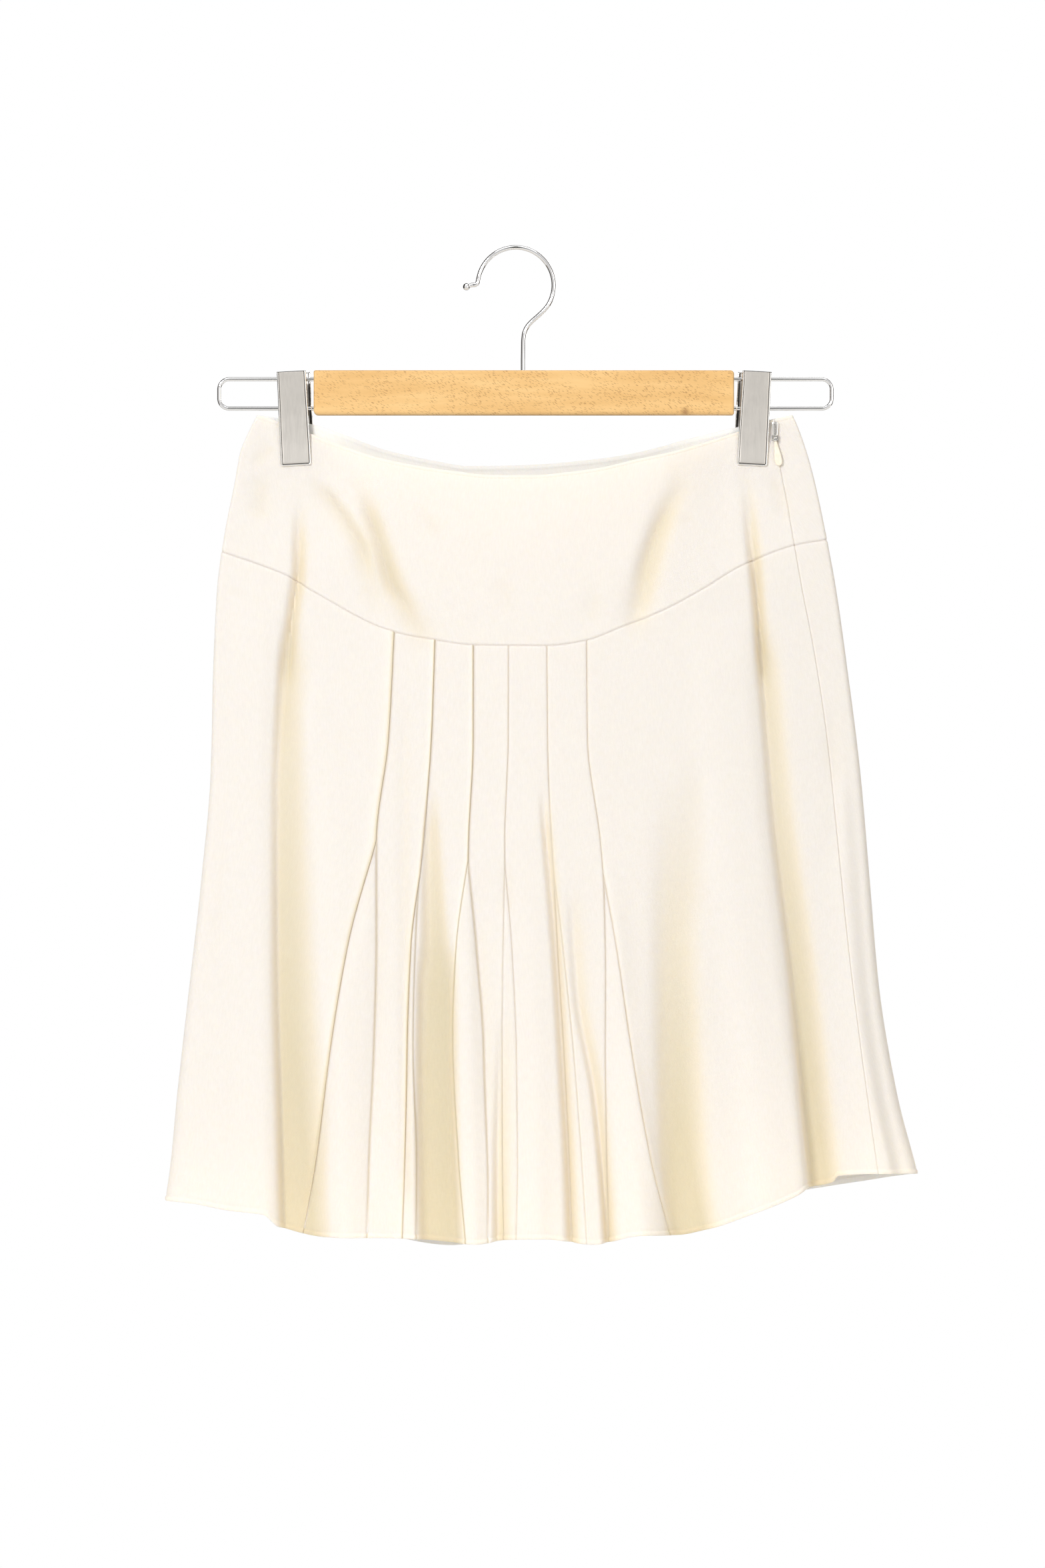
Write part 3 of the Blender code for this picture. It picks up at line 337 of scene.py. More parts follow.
BACK_CREASES = (
    Crease(((-138, 152), (-120, 167), (-104, 190), (-94, 220)), -1.6, 5, 7),
    Crease(((-104, 168), (-92, 190), (-82, 215), (-72, 238)), -1.3, 5, 6),
    Crease(((150, 152), (134, 168), (120, 192), (110, 224)), -1.6, 7, 5),
    Crease(((112, 170), (100, 192), (92, 216), (84, 240)), -1.2, 6, 5),
    Crease(((20, 205), (24, 226), (28, 250)), -0.8, 5, 6),
    Crease(((-158, 480), (-161, 540), (-162, 600), (-164, 668)), -2, 4, 8),
    Crease(((-70, 470), (-71, 540), (-74, 610), (-79, 672)), -1.8, 5, 6),
    Crease(((24, 450), (22, 530), (19, 610), (17, 672)), -1.8, 6, 5),
    Crease(((96, 460), (99, 540), (103, 610), (107, 668)), -1.8, 5, 7),
    Crease(((191, 440), (196, 510), (203, 590), (211, 645)), -1.8, 6, 5),
)
TIP_FADE, CREASE_REACH = 0.28, 3.2
LEAST_HALF, SOFT_STOP = 1.0, 0.4  # half depth that a fold can't go below, and how softly it stops
BEND_EVEN = 0.30  # the more, the closer the columns lie round the side folds
MEET_ROUNDS = 40


def hermite(start, end, slope, next_slope, span, t):
    """Cubic from start to end, with a slope at each."""
    near = start * (1 + 2 * t) * (1 - t) ** 2 + slope * span * t * (1 - t) ** 2
    far = end * t * t * (3 - 2 * t) + next_slope * span * t * t * (t - 1)
    return near + far


def curve(knots, values, at):
    """Smooth line through a short table that never swings past its values."""
    knots = np.asarray(knots, float)
    values = np.asarray(values, float)
    spans = np.diff(knots)
    steps = np.diff(values) / spans
    slopes = np.zeros(len(knots))
    same_way = steps[:-1] * steps[1:] > 0
    inner = slopes[1:-1]
    inner[same_way] = 2 / (1 / steps[:-1][same_way] + 1 / steps[1:][same_way])
    slopes[0], slopes[-1] = steps[0], steps[-1]
    at = np.clip(at, knots[0], knots[-1])
    k = np.clip(np.searchsorted(knots, at, side="right") - 1, 0, len(spans) - 1)
    t = (at - knots[k]) / spans[k]
    return hermite(values[k], values[k + 1], slopes[k], slopes[k + 1], spans[k], t)


def ramp(value):
    """Goes smoothly from 0 to 1 while the value does."""
    value = np.clip(value, 0, 1)
    return value * value * (3 - 2 * value)


def hump(away, centre, half, power=2):
    """1 at the centre, falling away on both sides."""
    return np.exp(-np.abs((away - centre) / half) ** power)


def run_along(points, axis=0):
    """Length along lines of points, from 0."""
    run = np.cumsum(np.linalg.norm(np.diff(points, axis=axis), axis=-1), axis=axis)
    return np.concatenate([np.zeros_like(np.take(run, [0], axis)), run], axis=axis)


def between(left, right, share, drop):
    """Angle at a share of the way between two seam lines."""
    return left(drop) * (1 - share) + right(drop) * share


DROPS = [section.drop for section in SECTIONS]


def section_at(field, drop):
    """One measure of the skirt's section, at any drop."""
    return curve(DROPS, [getattr(section, field) for section in SECTIONS], drop)


def clip_centre(side, drop):
    """Middle of the left (-1) or right (+1) clip, which leans a little."""
    top, bottom = RIGHT_CLIP_X if side > 0 else LEFT_CLIP_X
    return top + (bottom - top) * (drop - CLIP_TOP) / (CLIP_BOTTOM - CLIP_TOP)


def from_clip(side, x, drop):
    """Distance across from the middle of a clip, or from below its end."""
    return np.abs(x - clip_centre(side, np.minimum(drop, CLIP_BOTTOM)))


def pinch(x, drop):
    """1 where a clip holds front and back together, 0 where they hang free."""
    hold = np.zeros_like(x)
    for side in (-1, 1):
        away = from_clip(side, x, drop)
        hold = np.maximum(hold, 1 - ramp((away - HELD_HALF) / FREED_ACROSS))
    return hold * (1 - ramp((drop - HELD_BELOW) / FREED_DOWN))


def fold_rise(folds, x, drop):
    """How far the folds stand out at these places."""
    total = np.zeros_like(x)
    for fold in folds:
        middle = curve(np.linspace(fold.top, fold.bottom, len(fold.places)), fold.places, drop)
        share = np.clip((drop - fold.top) / (fold.bottom - fold.top), 0, 1)
        height = fold.rise[0] + (fold.rise[1] - fold.rise[0]) * share
        left, right, left_below, right_below = (fold.wide * 2)[:4]
        wide = np.where(x < middle, left + (left_below - left) * share,
                        right + (right_below - right) * share)
        shown = ramp((drop - fold.top) / FOLD_FADE + 0.5)
        shown = shown * ramp((fold.bottom - drop) / FOLD_FADE + 0.5)
        total += height * shown * hump(x, middle, wide, fold.power)
    return total


def crease_rise(creases, x, drop):
    """Rise of the fine creases, each fading towards its two ends."""
    total = np.zeros_like(x)
    for crease in creases:
        path = np.asarray(crease.path, float)
        steps = np.diff(path, axis=0)
        lengths = np.hypot(steps[:, 0], steps[:, 1])
        reach = CREASE_REACH * max(crease.left, crease.right)
        low, high = path.min(axis=0) - reach, path.max(axis=0) + reach
        near = (x > low[0]) & (x < high[0]) & (drop > low[1]) & (drop < high[1])
        if not near.any():
            continue
        px, pd = x[near], drop[near]
        best = np.full(px.shape, np.inf)
        side = np.zeros(px.shape)
        along = np.zeros(px.shape)
        for start, step, length, before in zip(path, steps, lengths, np.cumsum(lengths) - lengths):
            t = np.clip(((px - start[0]) * step[0] + (pd - start[1]) * step[1]) / length ** 2, 0, 1)
            dx, dd = px - start[0] - t * step[0], pd - start[1] - t * step[1]
            away = np.hypot(dx, dd)
            nearer = away < best
            best = np.where(nearer, away, best)
            side = np.where(nearer, step[0] * dd - step[1] * dx, side)
            along = np.where(nearer, before + t * length, along)
        share = along / lengths.sum()
        fade = ramp(share / TIP_FADE) * ramp((1 - share) / TIP_FADE)
        wide = np.where(side > 0, crease.left, crease.right)
        total[near] += crease.rise * fade * hump(best, 0, wide)
    return total


def clip_free(x, drop):
    """0 where a clip's jaws press the cloth flat, 1 a little way off."""
    free = np.ones_like(x)
    for side in (-1, 1):
        away = from_clip(side, x, drop)
        held = 1 - ramp((away - PRESSED_HALF) / PRESSED_FREED)
        held = held * (1 - ramp((drop - PRESSED_BELOW) / PRESSED_FREED_DOWN))
        free = np.minimum(free, 1 - held)
    return free


def fold_sum(angle, drop):
    """For each place its x, smooth half depth, fold, end cap, and whether it is on the front."""
    left = section_at("left", drop)
    width = section_at("right", drop) - left
    radius = section_at("fold_radius", drop)
    front = np.sin(angle) > 0
    depth = np.where(front, section_at("front_depth", drop), section_at("back_depth", drop))
    across = (1 - np.cos(angle)) / 2
    x = left + width * across
    inset = width * np.minimum(across, 1 - across)
    cap = np.sqrt(1 - (1 - np.minimum(inset / radius, 1)) ** 2)
    free = 1 - pinch(x, drop)
    belly = (depth - radius) * np.sin(np.pi * across) * free
    folds = np.where(front, fold_rise(FRONT_FOLDS, x, drop), fold_rise(BACK_FOLDS, x, drop)) * free
    fine = np.where(front, crease_rise(FRONT_CREASES, x, drop), crease_rise(BACK_CREASES, x, drop))
    off = (folds + fine * clip_free(x, drop)) * ramp((inset - radius) / FOLD_CLEAR)
    return x, radius + belly, off, cap, front


def place(angle, drop):
    """Points of the cloth's outer face."""
    angle, drop = np.broadcast_arrays(np.asarray(angle, float), np.asarray(drop, float))
    x, form, off, cap, front = fold_sum(angle, drop)
    half = form + off
    least = np.minimum(LEAST_HALF, form)
    half = least + np.logaddexp(0.0, (half - least) / SOFT_STOP) * SOFT_STOP
    half = half * cap
    return np.stack([x, np.where(front, -half, half), -drop], axis=-1)


def outward(angle, drop):
    """Unit normals of the outer face."""
    turn, down = 0.004, 0.5
    around = place(angle + turn, drop) - place(angle - turn, drop)
    below = place(angle, drop + down) - place(angle, drop - down)
    normal = np.cross(below, around)
    return normal / np.linalg.norm(normal, axis=-1, keepdims=True)


def angle_at(x, drop):
    """Angle of a place on the front, from its x."""
    left = section_at("left", drop)
    across = (x - left) / (section_at("right", drop) - left)
    return np.arccos(1 - 2 * np.clip(across, 0, 1))


def left_side(drop):
    """Angle of the left side seam, which runs down the back."""
    inset = curve(SIDE_DROPS, LEFT_SIDE_INSET, drop)
    return -angle_at(section_at("left", drop) + inset, drop)


def right_side(drop):
    """Angle of the right side seam, which holds the zip and runs down the front."""
    return angle_at(curve(SIDE_DROPS, RIGHT_SIDE_SEAM, drop), drop)


def left_side_from_back(drop):
    """The left side seam again, a whole turn on."""
    return 2 * np.pi + left_side(drop)


def branch(seam, side):
    """Angle down the left (-1) or right (+1) edge of a front seam and its godet."""
    spreads = (TIP_SPREAD,) + (seam.left_spread if side < 0 else seam.right_spread)

    def line(drop):
        spread = curve((seam.tip,) + SPREAD_DROPS, spreads, drop)
        x = curve(SEAM_DROPS, seam.line, drop) + side * np.where(drop < seam.tip - 0.01, 0.0, spread)
        return angle_at(x, drop)

    return line


def edge_drop(front_edge, back_edge, angle, drop):
    """Drop of an edge of the cloth at these places."""
    x = place(angle, drop)[..., 0]
    front, back = (curve(*np.transpose(edge), x) for edge in (front_edge, back_edge))
    return np.where(np.sin(angle) > 0, front, back)


def meet(edges, left, right, share):
    """Drop at which columns between two seam lines meet an edge of the cloth."""
    share = np.asarray(share, float)
    drop = np.full_like(share, np.mean([point[1] for point in edges[0]]))
    for _ in range(MEET_ROUNDS):
        angle = between(left, right, share, drop)
        drop = (drop + edge_drop(*edges, angle, drop)) / 2
    return drop


WAIST = (WAIST_FRONT, WAIST_BACK)
YOKE = (YOKE_FRONT, YOKE_BACK)
HEM = (HEM_FRONT, HEM_BACK)


def even_shares(left, right, count, drop):
    """Shares of the way between two seams, about evenly spaced along the cloth."""
    angles = np.linspace(left(drop), right(drop), 400)
    density = BEND_EVEN + np.abs(np.sin(angles))
    measure = np.concatenate([[0], np.cumsum((density[1:] + density[:-1]) / 2)])
    return np.interp(np.linspace(0, measure[-1], count + 1), measure, np.linspace(0, 1, 400))


# Rows close to an edge, by distance from it, and how the cloth's face lies there
WAIST_ROWS = (0.0, 0.35, 0.8, 1.3, 1.7, 2.1, 2.5, 3.0, 4.2)
SEAM_ROWS = (0.0, 0.25, 0.6, 1.0, 1.6, 2.6)
HEM_ROWS = (0.0, 0.3, 0.7, 1.3, 2.0, 2.7, 3.2, 3.7, 4.3, 5.5)
TIP_ROWS = (0.0, 0.6, 1.6, 3.0)


def seam_dip(away):
    """The cloth turns in where it is sewn."""
    return 0.10 * hump(away, 1.9, 0.9) - 0.55 * hump(away, 0, 0.75)


def waist_lie(away):
    """A rounded top edge with a sewn groove below it."""
    return -0.25 * hump(away, 0, 0.45) - 0.22 * hump(away, STITCH_BELOW, 0.42)


def hem_lie(away):
    """A narrow turned hem, thicker than the cloth, with a sewn groove above it."""
    return 0.35 * hump(away, 1.5, 1.3) - 0.15 * hump(away, 0, 0.4) - 0.25 * hump(away, 3.4, 0.5)


def seam_step(away, proud):
    """Beside a sewn edge the cloth stands proud of its neighbour, or lies behind it."""
    return proud * 0.45 * hump(away, 0, 1.9)


# An edge's rows, how its face lies, how much thicker it is, for how far, and how softly that ends
Edging = namedtuple("Edging", "rows lie thick turned fade", defaults=(0.0, 1.0, 1.0))
WAIST_EDGE = Edging(WAIST_ROWS, waist_lie, 0.5, 2.2, 1.6)
SEAM_EDGE = Edging(SEAM_ROWS, seam_dip)
HEM_EDGE = Edging(HEM_ROWS, hem_lie, 0.4, 3.2, 1.4)
TIP_EDGE = Edging(TIP_ROWS, seam_dip)


def turned_thick(edging, away):
    """Extra thickness where the cloth is turned in along an edge."""
    return edging.thick * (1 - ramp((away - edging.turned) / edging.fade))


def make_piece(name, points, faces, material, crease=50.0, body="garment"):
    """Mesh object from points in millimetres, riding on a body."""
    mesh = bpy.data.meshes.new(name)
    mesh.from_pydata((np.asarray(points, float) * MM).tolist(), [], faces)
    shape = bmesh.new()
    shape.from_mesh(mesh)
    bmesh.ops.recalc_face_normals(shape, faces=shape.faces)
    shape.to_mesh(mesh)
    shape.free()
    mesh.shade_smooth()
    mesh.set_sharp_from_angle(angle=math.radians(crease))
    mesh.materials.append(material)
    item = bpy.data.objects.new(name, mesh)
    bpy.context.scene.collection.objects.link(item)
    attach(item, body)
    return item


def edge_line(edges, left, right):
    """Drop of a cloth edge as a function of the share between two seam lines."""
    fine = np.linspace(0, 1, 161)
    drops = meet(edges, left, right, fine)
    return lambda share: np.interp(share, fine, drops)


def shell_faces(rows, cols):
    """Quads of an outer and an inner face, and between their rims."""
    count = rows * cols
    index = np.arange(count).reshape(rows, cols)
    corners = (index[:-1, :-1], index[:-1, 1:], index[1:, 1:], index[1:, :-1])
    quads = np.stack(corners, axis=-1).reshape(-1, 4)
    rim = np.concatenate([index[0], index[1:, -1], index[-1, -2::-1], index[-2:0:-1, 0]])
    after = np.roll(rim, -1)
    sides = np.stack([rim, rim + count, after + count, after], axis=-1)
    return np.concatenate([quads, quads[:, ::-1] + count, sides]).tolist()


def lay_flat(item, around, down):
    """Gives the piece its flat cut, in metres, as a UV layer."""
    flat = np.stack([around.ravel(), -down.ravel()], axis=-1) * MM
    flat = np.concatenate([flat, flat + INNER_ASIDE])
    layer = item.data.uv_layers.new(name="cut")
    corners = np.empty(len(item.data.loops), dtype=np.int64)
    item.data.loops.foreach_get("vertex_index", corners)
    layer.data.foreach_set("uv", flat[corners].ravel())


def cloth_piece(name, left, right, top, bottom, top_edge, bottom_edge, material, proud=(0.0, 0.0)):
    """Thin closed shell between two seam lines, with fine rows and columns beside its edges."""
    height = float(np.mean(bottom(np.linspace(0, 1, 9)) - top(np.linspace(0, 1, 9))))
    first, last = top_edge.rows[-1], bottom_edge.rows[-1]
    middle_rows = max(4, int(round((height - first - last) / GRID_DOWN)))
    middle = np.linspace(0, 1, middle_rows + 1)[1:-1]
    row_count = len(top_edge.rows) + len(middle) + len(bottom_edge.rows)

    def drops_of(shares):
        """Drops for shares given row by row."""
        drops = np.empty_like(shares)
        lowest, highest = bottom(shares), top(shares)
        for r, away in enumerate(top_edge.rows):
            drops[r] = highest[r] + away
        for r, share in enumerate(middle, len(top_edge.rows)):
            start, end = highest[r] + first, lowest[r] - last
            drops[r] = start + (end - start) * share
        for r, away in enumerate(reversed(bottom_edge.rows), len(top_edge.rows) + len(middle)):
            drops[r] = lowest[r] - away
        return drops

    samples = np.tile(np.linspace(0, 1, SAMPLES_ACROSS), (row_count, 1))
    sample_drops = drops_of(samples)
    at = between(left, right, samples, sample_drops)
    widths = np.linalg.norm(np.diff(place(at, sample_drops), axis=1), axis=-1).sum(axis=1)
    wide = float(widths.max())
    columns = max(6, int(round(wide / GRID_ACROSS)))
    if wide > WIDE_PIECE:
        base = even_shares(left, right, columns, float(np.mean(sample_drops)))
    else:
        base = np.linspace(0, 1, columns + 1)
    away = np.array(SEAM_ROWS)
    squeeze = np.minimum(1.0, EDGE_SHARE * widths / away[-1])
    edge = away[None, :] * squeeze[:, None] / widths[:, None]
    inner = edge[:, -1:] + (1 - 2 * edge[:, -1:]) * base[None, 1:-1]
    shares = np.concatenate([edge, inner, 1 - edge[:, ::-1]], axis=1)
    drops = drops_of(shares)
    from_side = np.minimum(shares, 1 - shares) * widths[:, None]
    turn = 0.001
    angles = between(left, right, shares, drops)
    span = np.linalg.norm(place(angles + turn, drops) - place(angles - turn, drops), axis=-1) / (2 * turn)
    inset = np.zeros_like(angles)
    inset[:, 0], inset[:, -1] = EDGE_GAP, -EDGE_GAP
    angles = angles + inset / span
    from_top, from_bottom = drops - top(shares), bottom(shares) - drops
    face = place(angles, drops)
    normal = outward(angles, drops)
    lift = seam_dip(from_side) * SEAM_LIE + top_edge.lie(from_top) + bottom_edge.lie(from_bottom)
    lift = np.maximum(lift, DEEPEST_LIE)
    lift = lift + seam_step(shares * widths[:, None], proud[0])
    lift = lift + seam_step((1 - shares) * widths[:, None], proud[1])
    thick = CLOTH_THICK + turned_thick(top_edge, from_top) + turned_thick(bottom_edge, from_bottom)
    thick = np.minimum(thick, np.maximum(np.abs(face[..., 1]) * THICK_SHARE, LEAST_THICK))
    outer = face + normal * lift[..., None]
    inner_face = face - normal * thick[..., None]
    points = np.concatenate([outer.reshape(-1, 3), inner_face.reshape(-1, 3)])
    item = make_piece(name, points, shell_faces(*drops.shape), material, crease=70.0)
    around, down = run_along(face, 1), run_along(face)
    middle_column = drops.shape[1] // 2
    around = around - around[:, [middle_column]]
    lay_flat(item, around, down)
    # Painted shade for the cloth's colour: darker in the folds, shifted to the right as a shadow cast by
    # light from the left, and darker along the seams, more where an edge stands proud
    off = fold_sum(angles - SHADE_SHIFT / span, drops)[2]
    sewn = np.zeros_like(angles)
    for step, share in zip(proud, (shares, 1 - shares)):
        line = hump(share * widths[:, None], 0, PAINTED_SEAM_SHADE_HALF)
        sewn = np.maximum(sewn, (PAINTED_SEAM_SHADE + PAINTED_SEAM_SHADE_PROUD * abs(step)) * line)
    depth = np.clip(np.maximum(-off / DEEP_FOLD, 0) + sewn, 0, 1)
    outer_painted_shade = LIT_TONE + (1 - LIT_TONE) * depth
    # Painted light: the inner face is lightest at the open edge, fading to the outer face's painted shade
    open_edge = from_top if top_edge is WAIST_EDGE else from_bottom
    inside = outer_painted_shade * ramp(open_edge / PAINTED_LIGHT_REACH)
    painted_shade_and_light = item.data.attributes.new("painted_shade_and_light", "FLOAT", "POINT")
    painted_shade_and_light.data.foreach_set("value", np.concatenate([outer_painted_shade.ravel(), inside.ravel()]).astype(np.float32))
    area = float((np.diff(down, axis=0)[:, :-1] * np.diff(around, axis=1)[:-1]).sum()) * MM * MM
    return item, float(widths.max()) * MM, float(down[-1].max()) * MM, area


def sew(node, *piece):
    """Makes a cloth piece and hides the node it stands for; the size it is cut to is worked out but not
    used.
    """
    item, width, length, area = cloth_piece(node + "_cloth", *piece)
    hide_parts(node)


def build_skirt(material):
    lines = [(branch(seam, -1), branch(seam, 1)) for seam in FRONT_SEAMS]

    def yoke(name, left, right):
        sew(name, left, right, edge_line(WAIST, left, right), edge_line(YOKE, left, right),
            WAIST_EDGE, SEAM_EDGE, material)

    def panel(name, left, right, proud=(0.0, 0.0)):
        sew(name, left, right, edge_line(YOKE, left, right), edge_line(HEM, left, right),
            SEAM_EDGE, HEM_EDGE, material, proud)

    yoke("front_yoke", left_side, right_side)
    yoke("back_yoke", right_side, left_side_from_back)
    starts = [left_side] + [line[1] for line in lines]
    ends = [line[0] for line in lines] + [right_side]
    names = ["front_left"] + [f"front_{n}" for n in range(1, len(FRONT_SEAMS))] + ["front_right"]
    prouds = [(0.0, PROUD_LEFT[0])]
    prouds += [(-before, after) for before, after in zip(PROUD_LEFT, PROUD_LEFT[1:])]
    prouds += [(-PROUD_LEFT[-1], 0.0)]
    for name, start, end, proud in zip(names, starts, ends, prouds):
        panel(name, start, end, proud)
    panel("back_panel", right_side, left_side_from_back)
    for n, (seam, (start, end)) in enumerate(zip(FRONT_SEAMS, lines), 1):
        tip = seam.tip + 0.05
        sew(f"godet_{n}", start, end, lambda share, tip=tip: np.full_like(share, tip),
            edge_line(HEM, start, end), TIP_EDGE, HEM_EDGE, material, GODET_PROUD[n - 1])


def ring_faces(rings, size, first=0, forward=False):
    """Quads between rings of points, then a cap at each end."""
    faces = []
    for start in range(first, first + (rings - 1) * size, size):
        for s in range(size):
            a, b = start + s, start + (s + 1) % size
            faces.append((a, b, b + size, a + size))
    last = first + (rings - 1) * size
    caps = [tuple(range(first, first + size)), tuple(range(last, last + size))]
    turned = 1 if forward else 0
    caps[turned] = caps[turned][::-1]
    return faces + caps


def capsule(points, faces, start, end, radius, sides=6):
    """Adds a small rounded thread between two points."""
    start, end = np.asarray(start, float), np.asarray(end, float)
    along = (end - start) / np.linalg.norm(end - start)
    helper = np.array((0.0, 0.0, 1.0)) if abs(along[2]) < 0.8 else np.array((0.0, 1.0, 0.0))
    u = np.cross(along, helper)
    u /= np.linalg.norm(u)
    v = np.cross(along, u)
    first = len(points)
    rings = ((0.0, 0.35), (0.15, 0.9), (0.5, 1.0), (0.85, 0.9), (1.0, 0.35))
    for share, size in rings:
        middle = start + (end - start) * share
        for turn in np.linspace(0, 2 * np.pi, sides, endpoint=False):
            points.append(middle + radius * size * (math.cos(turn) * u + math.sin(turn) * v))
    faces.extend(ring_faces(len(rings), sides, first))


def stitch_row(name, edges, left, right, material):
    """A row of thread stitches below an edge."""
    fine = np.linspace(0.004, 0.996, 1500)
    drops = edge_line(edges, left, right)(fine) + STITCH_BELOW
    angles = between(left, right, fine, drops)
    face = place(angles, drops) + outward(angles, drops) * STITCH_OUT
    run = run_along(face)
    points, faces = [], []
    for start in np.arange(0.5, run[-1] - STITCH_PITCH, STITCH_PITCH):
        ends = [np.array([np.interp(at, run, face[:, k]) for k in range(3)])
                for at in (start, start + STITCH_PITCH * STITCH_SHARE)]
        capsule(points, faces, *ends, STITCH_RADIUS)
    make_piece(name, points, faces, material)


def smooth_path(path, per):
    """More points along a path, on a curve through all of its own."""
    path = np.asarray(path, float)
    run = run_along(path)
    slopes = np.gradient(path, run, axis=0)
    out = [hermite(path[k], path[k + 1], slopes[k], slopes[k + 1], run[k + 1] - run[k], t)
           for k in range(len(path) - 1) for t in np.linspace(0, 1, per, endpoint=False)]
    return np.array(out + [path[-1]])


def tube(path, radii, sides):
    """Points and faces of a round wire along a 3-D path."""
    path = np.asarray(path, float)
    tangents = np.gradient(path, axis=0)
    tangents /= np.linalg.norm(tangents, axis=1, keepdims=True)
    side = np.cross(tangents[0], (0.0, 1.0, 0.0))
    if np.linalg.norm(side) < 0.1:
        side = np.cross(tangents[0], (0.0, 0.0, 1.0))
    points = []
    turns = np.linspace(0, 2 * np.pi, sides, endpoint=False)
    for centre, tangent, radius in zip(path, tangents, radii):
        side = side - tangent * side.dot(tangent)
        side /= np.linalg.norm(side)
        other = np.cross(tangent, side)
        for turn in turns:
            points.append(centre + radius * (math.cos(turn) * side + math.sin(turn) * other))
    return points, ring_faces(len(path), sides)


def arc(centre, radius, start, end, steps):
    """Points (x, z) on an arc, in degrees, measured from +X towards +Z."""
    angles = np.radians(np.linspace(start, end, steps + 1))
    return [(centre[0] + radius * math.cos(a), centre[1] + radius * math.sin(a)) for a in angles]


def build_hook(material):
    """Bent wire with a ball at its tip, down into the bar."""
    middle = -HOOK_INSIDE
    radius = HOOK_INSIDE + HOOK_WIRE / 2
    wire = HOOK_WIRE / 2
    ball = np.array((HOOK_BALL_X, middle - 1.0))
    start = np.array((-radius, middle + 1.5))
    away = (ball - start) / np.linalg.norm(ball - start)
    path, radii = [], []
    for share in np.linspace(-0.985, 0.80, 14):
        path.append(ball - away * share * HOOK_BALL / 2)
        radii.append(HOOK_BALL / 2 * math.sqrt(max(1 - share * share, 0.0)))
    for past, radius_share in BALL_NECK:
        path.append(ball - away * (HOOK_BALL / 2 + past))
        radii.append(wire * radius_share)
    rest = [(-radius - 0.9, middle + 0.8)] + arc((0, middle), radius, 170, -31, 60)
    rest += list(HOOK_NECK) + [(SHAFT_X, -HOOK_STRAIGHT), (SHAFT_X, -(BAR_TOP + HOOK_IN_BAR))]
    fine = smooth_path([path[-1]] + rest, 4)[1:]
    path = np.concatenate([np.array(path), fine])
    radii = radii + [wire] * len(fine)
    points, faces = tube([(x, 0.0, z) for x, z in path], radii, 32)
    item = make_piece("hook_wire", points, faces, material)
    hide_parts("hook")


def build_loop(name, end, bar_end, material):
    """Wire loop out of the bar's end and back."""
    side = math.copysign(1, end)
    inside = bar_end - side * LOOP_IN_BAR
    centre = end - side * LOOP_CORNER
    upper = arc((centre, -LOOP_TOP - LOOP_CORNER), LOOP_CORNER, 90, 0, 14)
    lower = arc((centre, -LOOP_BOTTOM + LOOP_CORNER), LOOP_CORNER, 0, -90, 14)
    if side < 0:
        upper = [(2 * centre - x, z) for x, z in upper]
        lower = [(2 * centre - x, z) for x, z in lower]
    path = [(inside, -LOOP_TOP)] + upper + lower + [(inside, -LOOP_BOTTOM)]
    points, faces = tube([(x, 0.0, z) for x, z in path], [LOOP_WIRE / 2] * len(path), 24)
    item = make_piece(name + "_wire", points, faces, material)
    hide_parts(name)


def build_bar(material):
    """Beech bar: an outline with its own four corner radii, and rounded edges in front and behind."""
    corners = ((BAR_RIGHT, -BAR_TOP, 0), (BAR_LEFT, -BAR_TOP, 90),
               (BAR_LEFT, -BAR_BOTTOM, 180), (BAR_RIGHT, -BAR_BOTTOM, 270))
    outline = []
    for (x, z, start), radius in zip(corners, BAR_CORNERS):
        inward = (-math.copysign(1.0, x), -1.0 if start < 180 else 1.0)
        for turn in np.radians(np.linspace(start, start + 90, 9)):
            outline.append((x, z, inward, math.cos(turn), math.sin(turn), radius))
    size = len(outline)
    rings = [(1 - math.sin(turn), 1 - math.cos(turn)) for turn in np.radians(np.linspace(0, 90, 7))]
    points = []

    def add_ring(side, share, depth, more=0.0):
        """One ring of points, this far in from the outline and back from the front or rear face."""
        for x, z, inward, nx, nz, radius in outline:
            lower = nz * nz if side < 0 and nz < 0 else 0.0
            edge = BAR_EDGE + (BAR_LOWER_EDGE - BAR_EDGE) * lower
            inset = edge * share + more
            centre = max(radius, inset)
            reach = max(radius - inset, LEAST_CORNER)
            points.append((x + inward[0] * centre + nx * reach, side * (BAR_DEPTH / 2 - depth * edge),
                           z + inward[1] * centre + nz * reach))

    add_ring(-1, 1.0, 0.0, CAP_INSET)
    for share, depth in rings:
        add_ring(-1, share, depth)
    for share, depth in reversed(rings):
        add_ring(1, share, depth)
    add_ring(1, 1.0, 0.0, CAP_INSET)
    faces = ring_faces(len(points) // size, size)[:-2]
    for first in (0, len(points) - size):
        for s in range(size // 2 - 1):
            faces.append((first + s, first + s + 1, first + size - 2 - s, first + size - 1 - s))
    item = make_piece("beech_bar", points, faces, material, crease=60.0)
    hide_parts("wood_bar")


def jaw_side(drop, field):
    """One measure of the jaw's side view, at any drop."""
    return float(np.interp(drop, [row.drop for row in JAW], [getattr(row, field) for row in JAW]))


def rounded_corner(x, drop, bottom):
    """Draws a point near a jaw's lower corner in to the corner's round."""
    aside, below = JAW_HALF - abs(x), bottom - drop
    if aside >= JAW_CORNER or below >= JAW_CORNER:
        return x, drop
    across, down = (JAW_CORNER - aside) / JAW_CORNER, (JAW_CORNER - below) / JAW_CORNER
    stretch = JAW_CORNER * max(across, down) / math.hypot(across, down)
    straight = JAW_HALF - JAW_CORNER
    return math.copysign(straight + across * stretch, x), bottom - JAW_CORNER + down * stretch


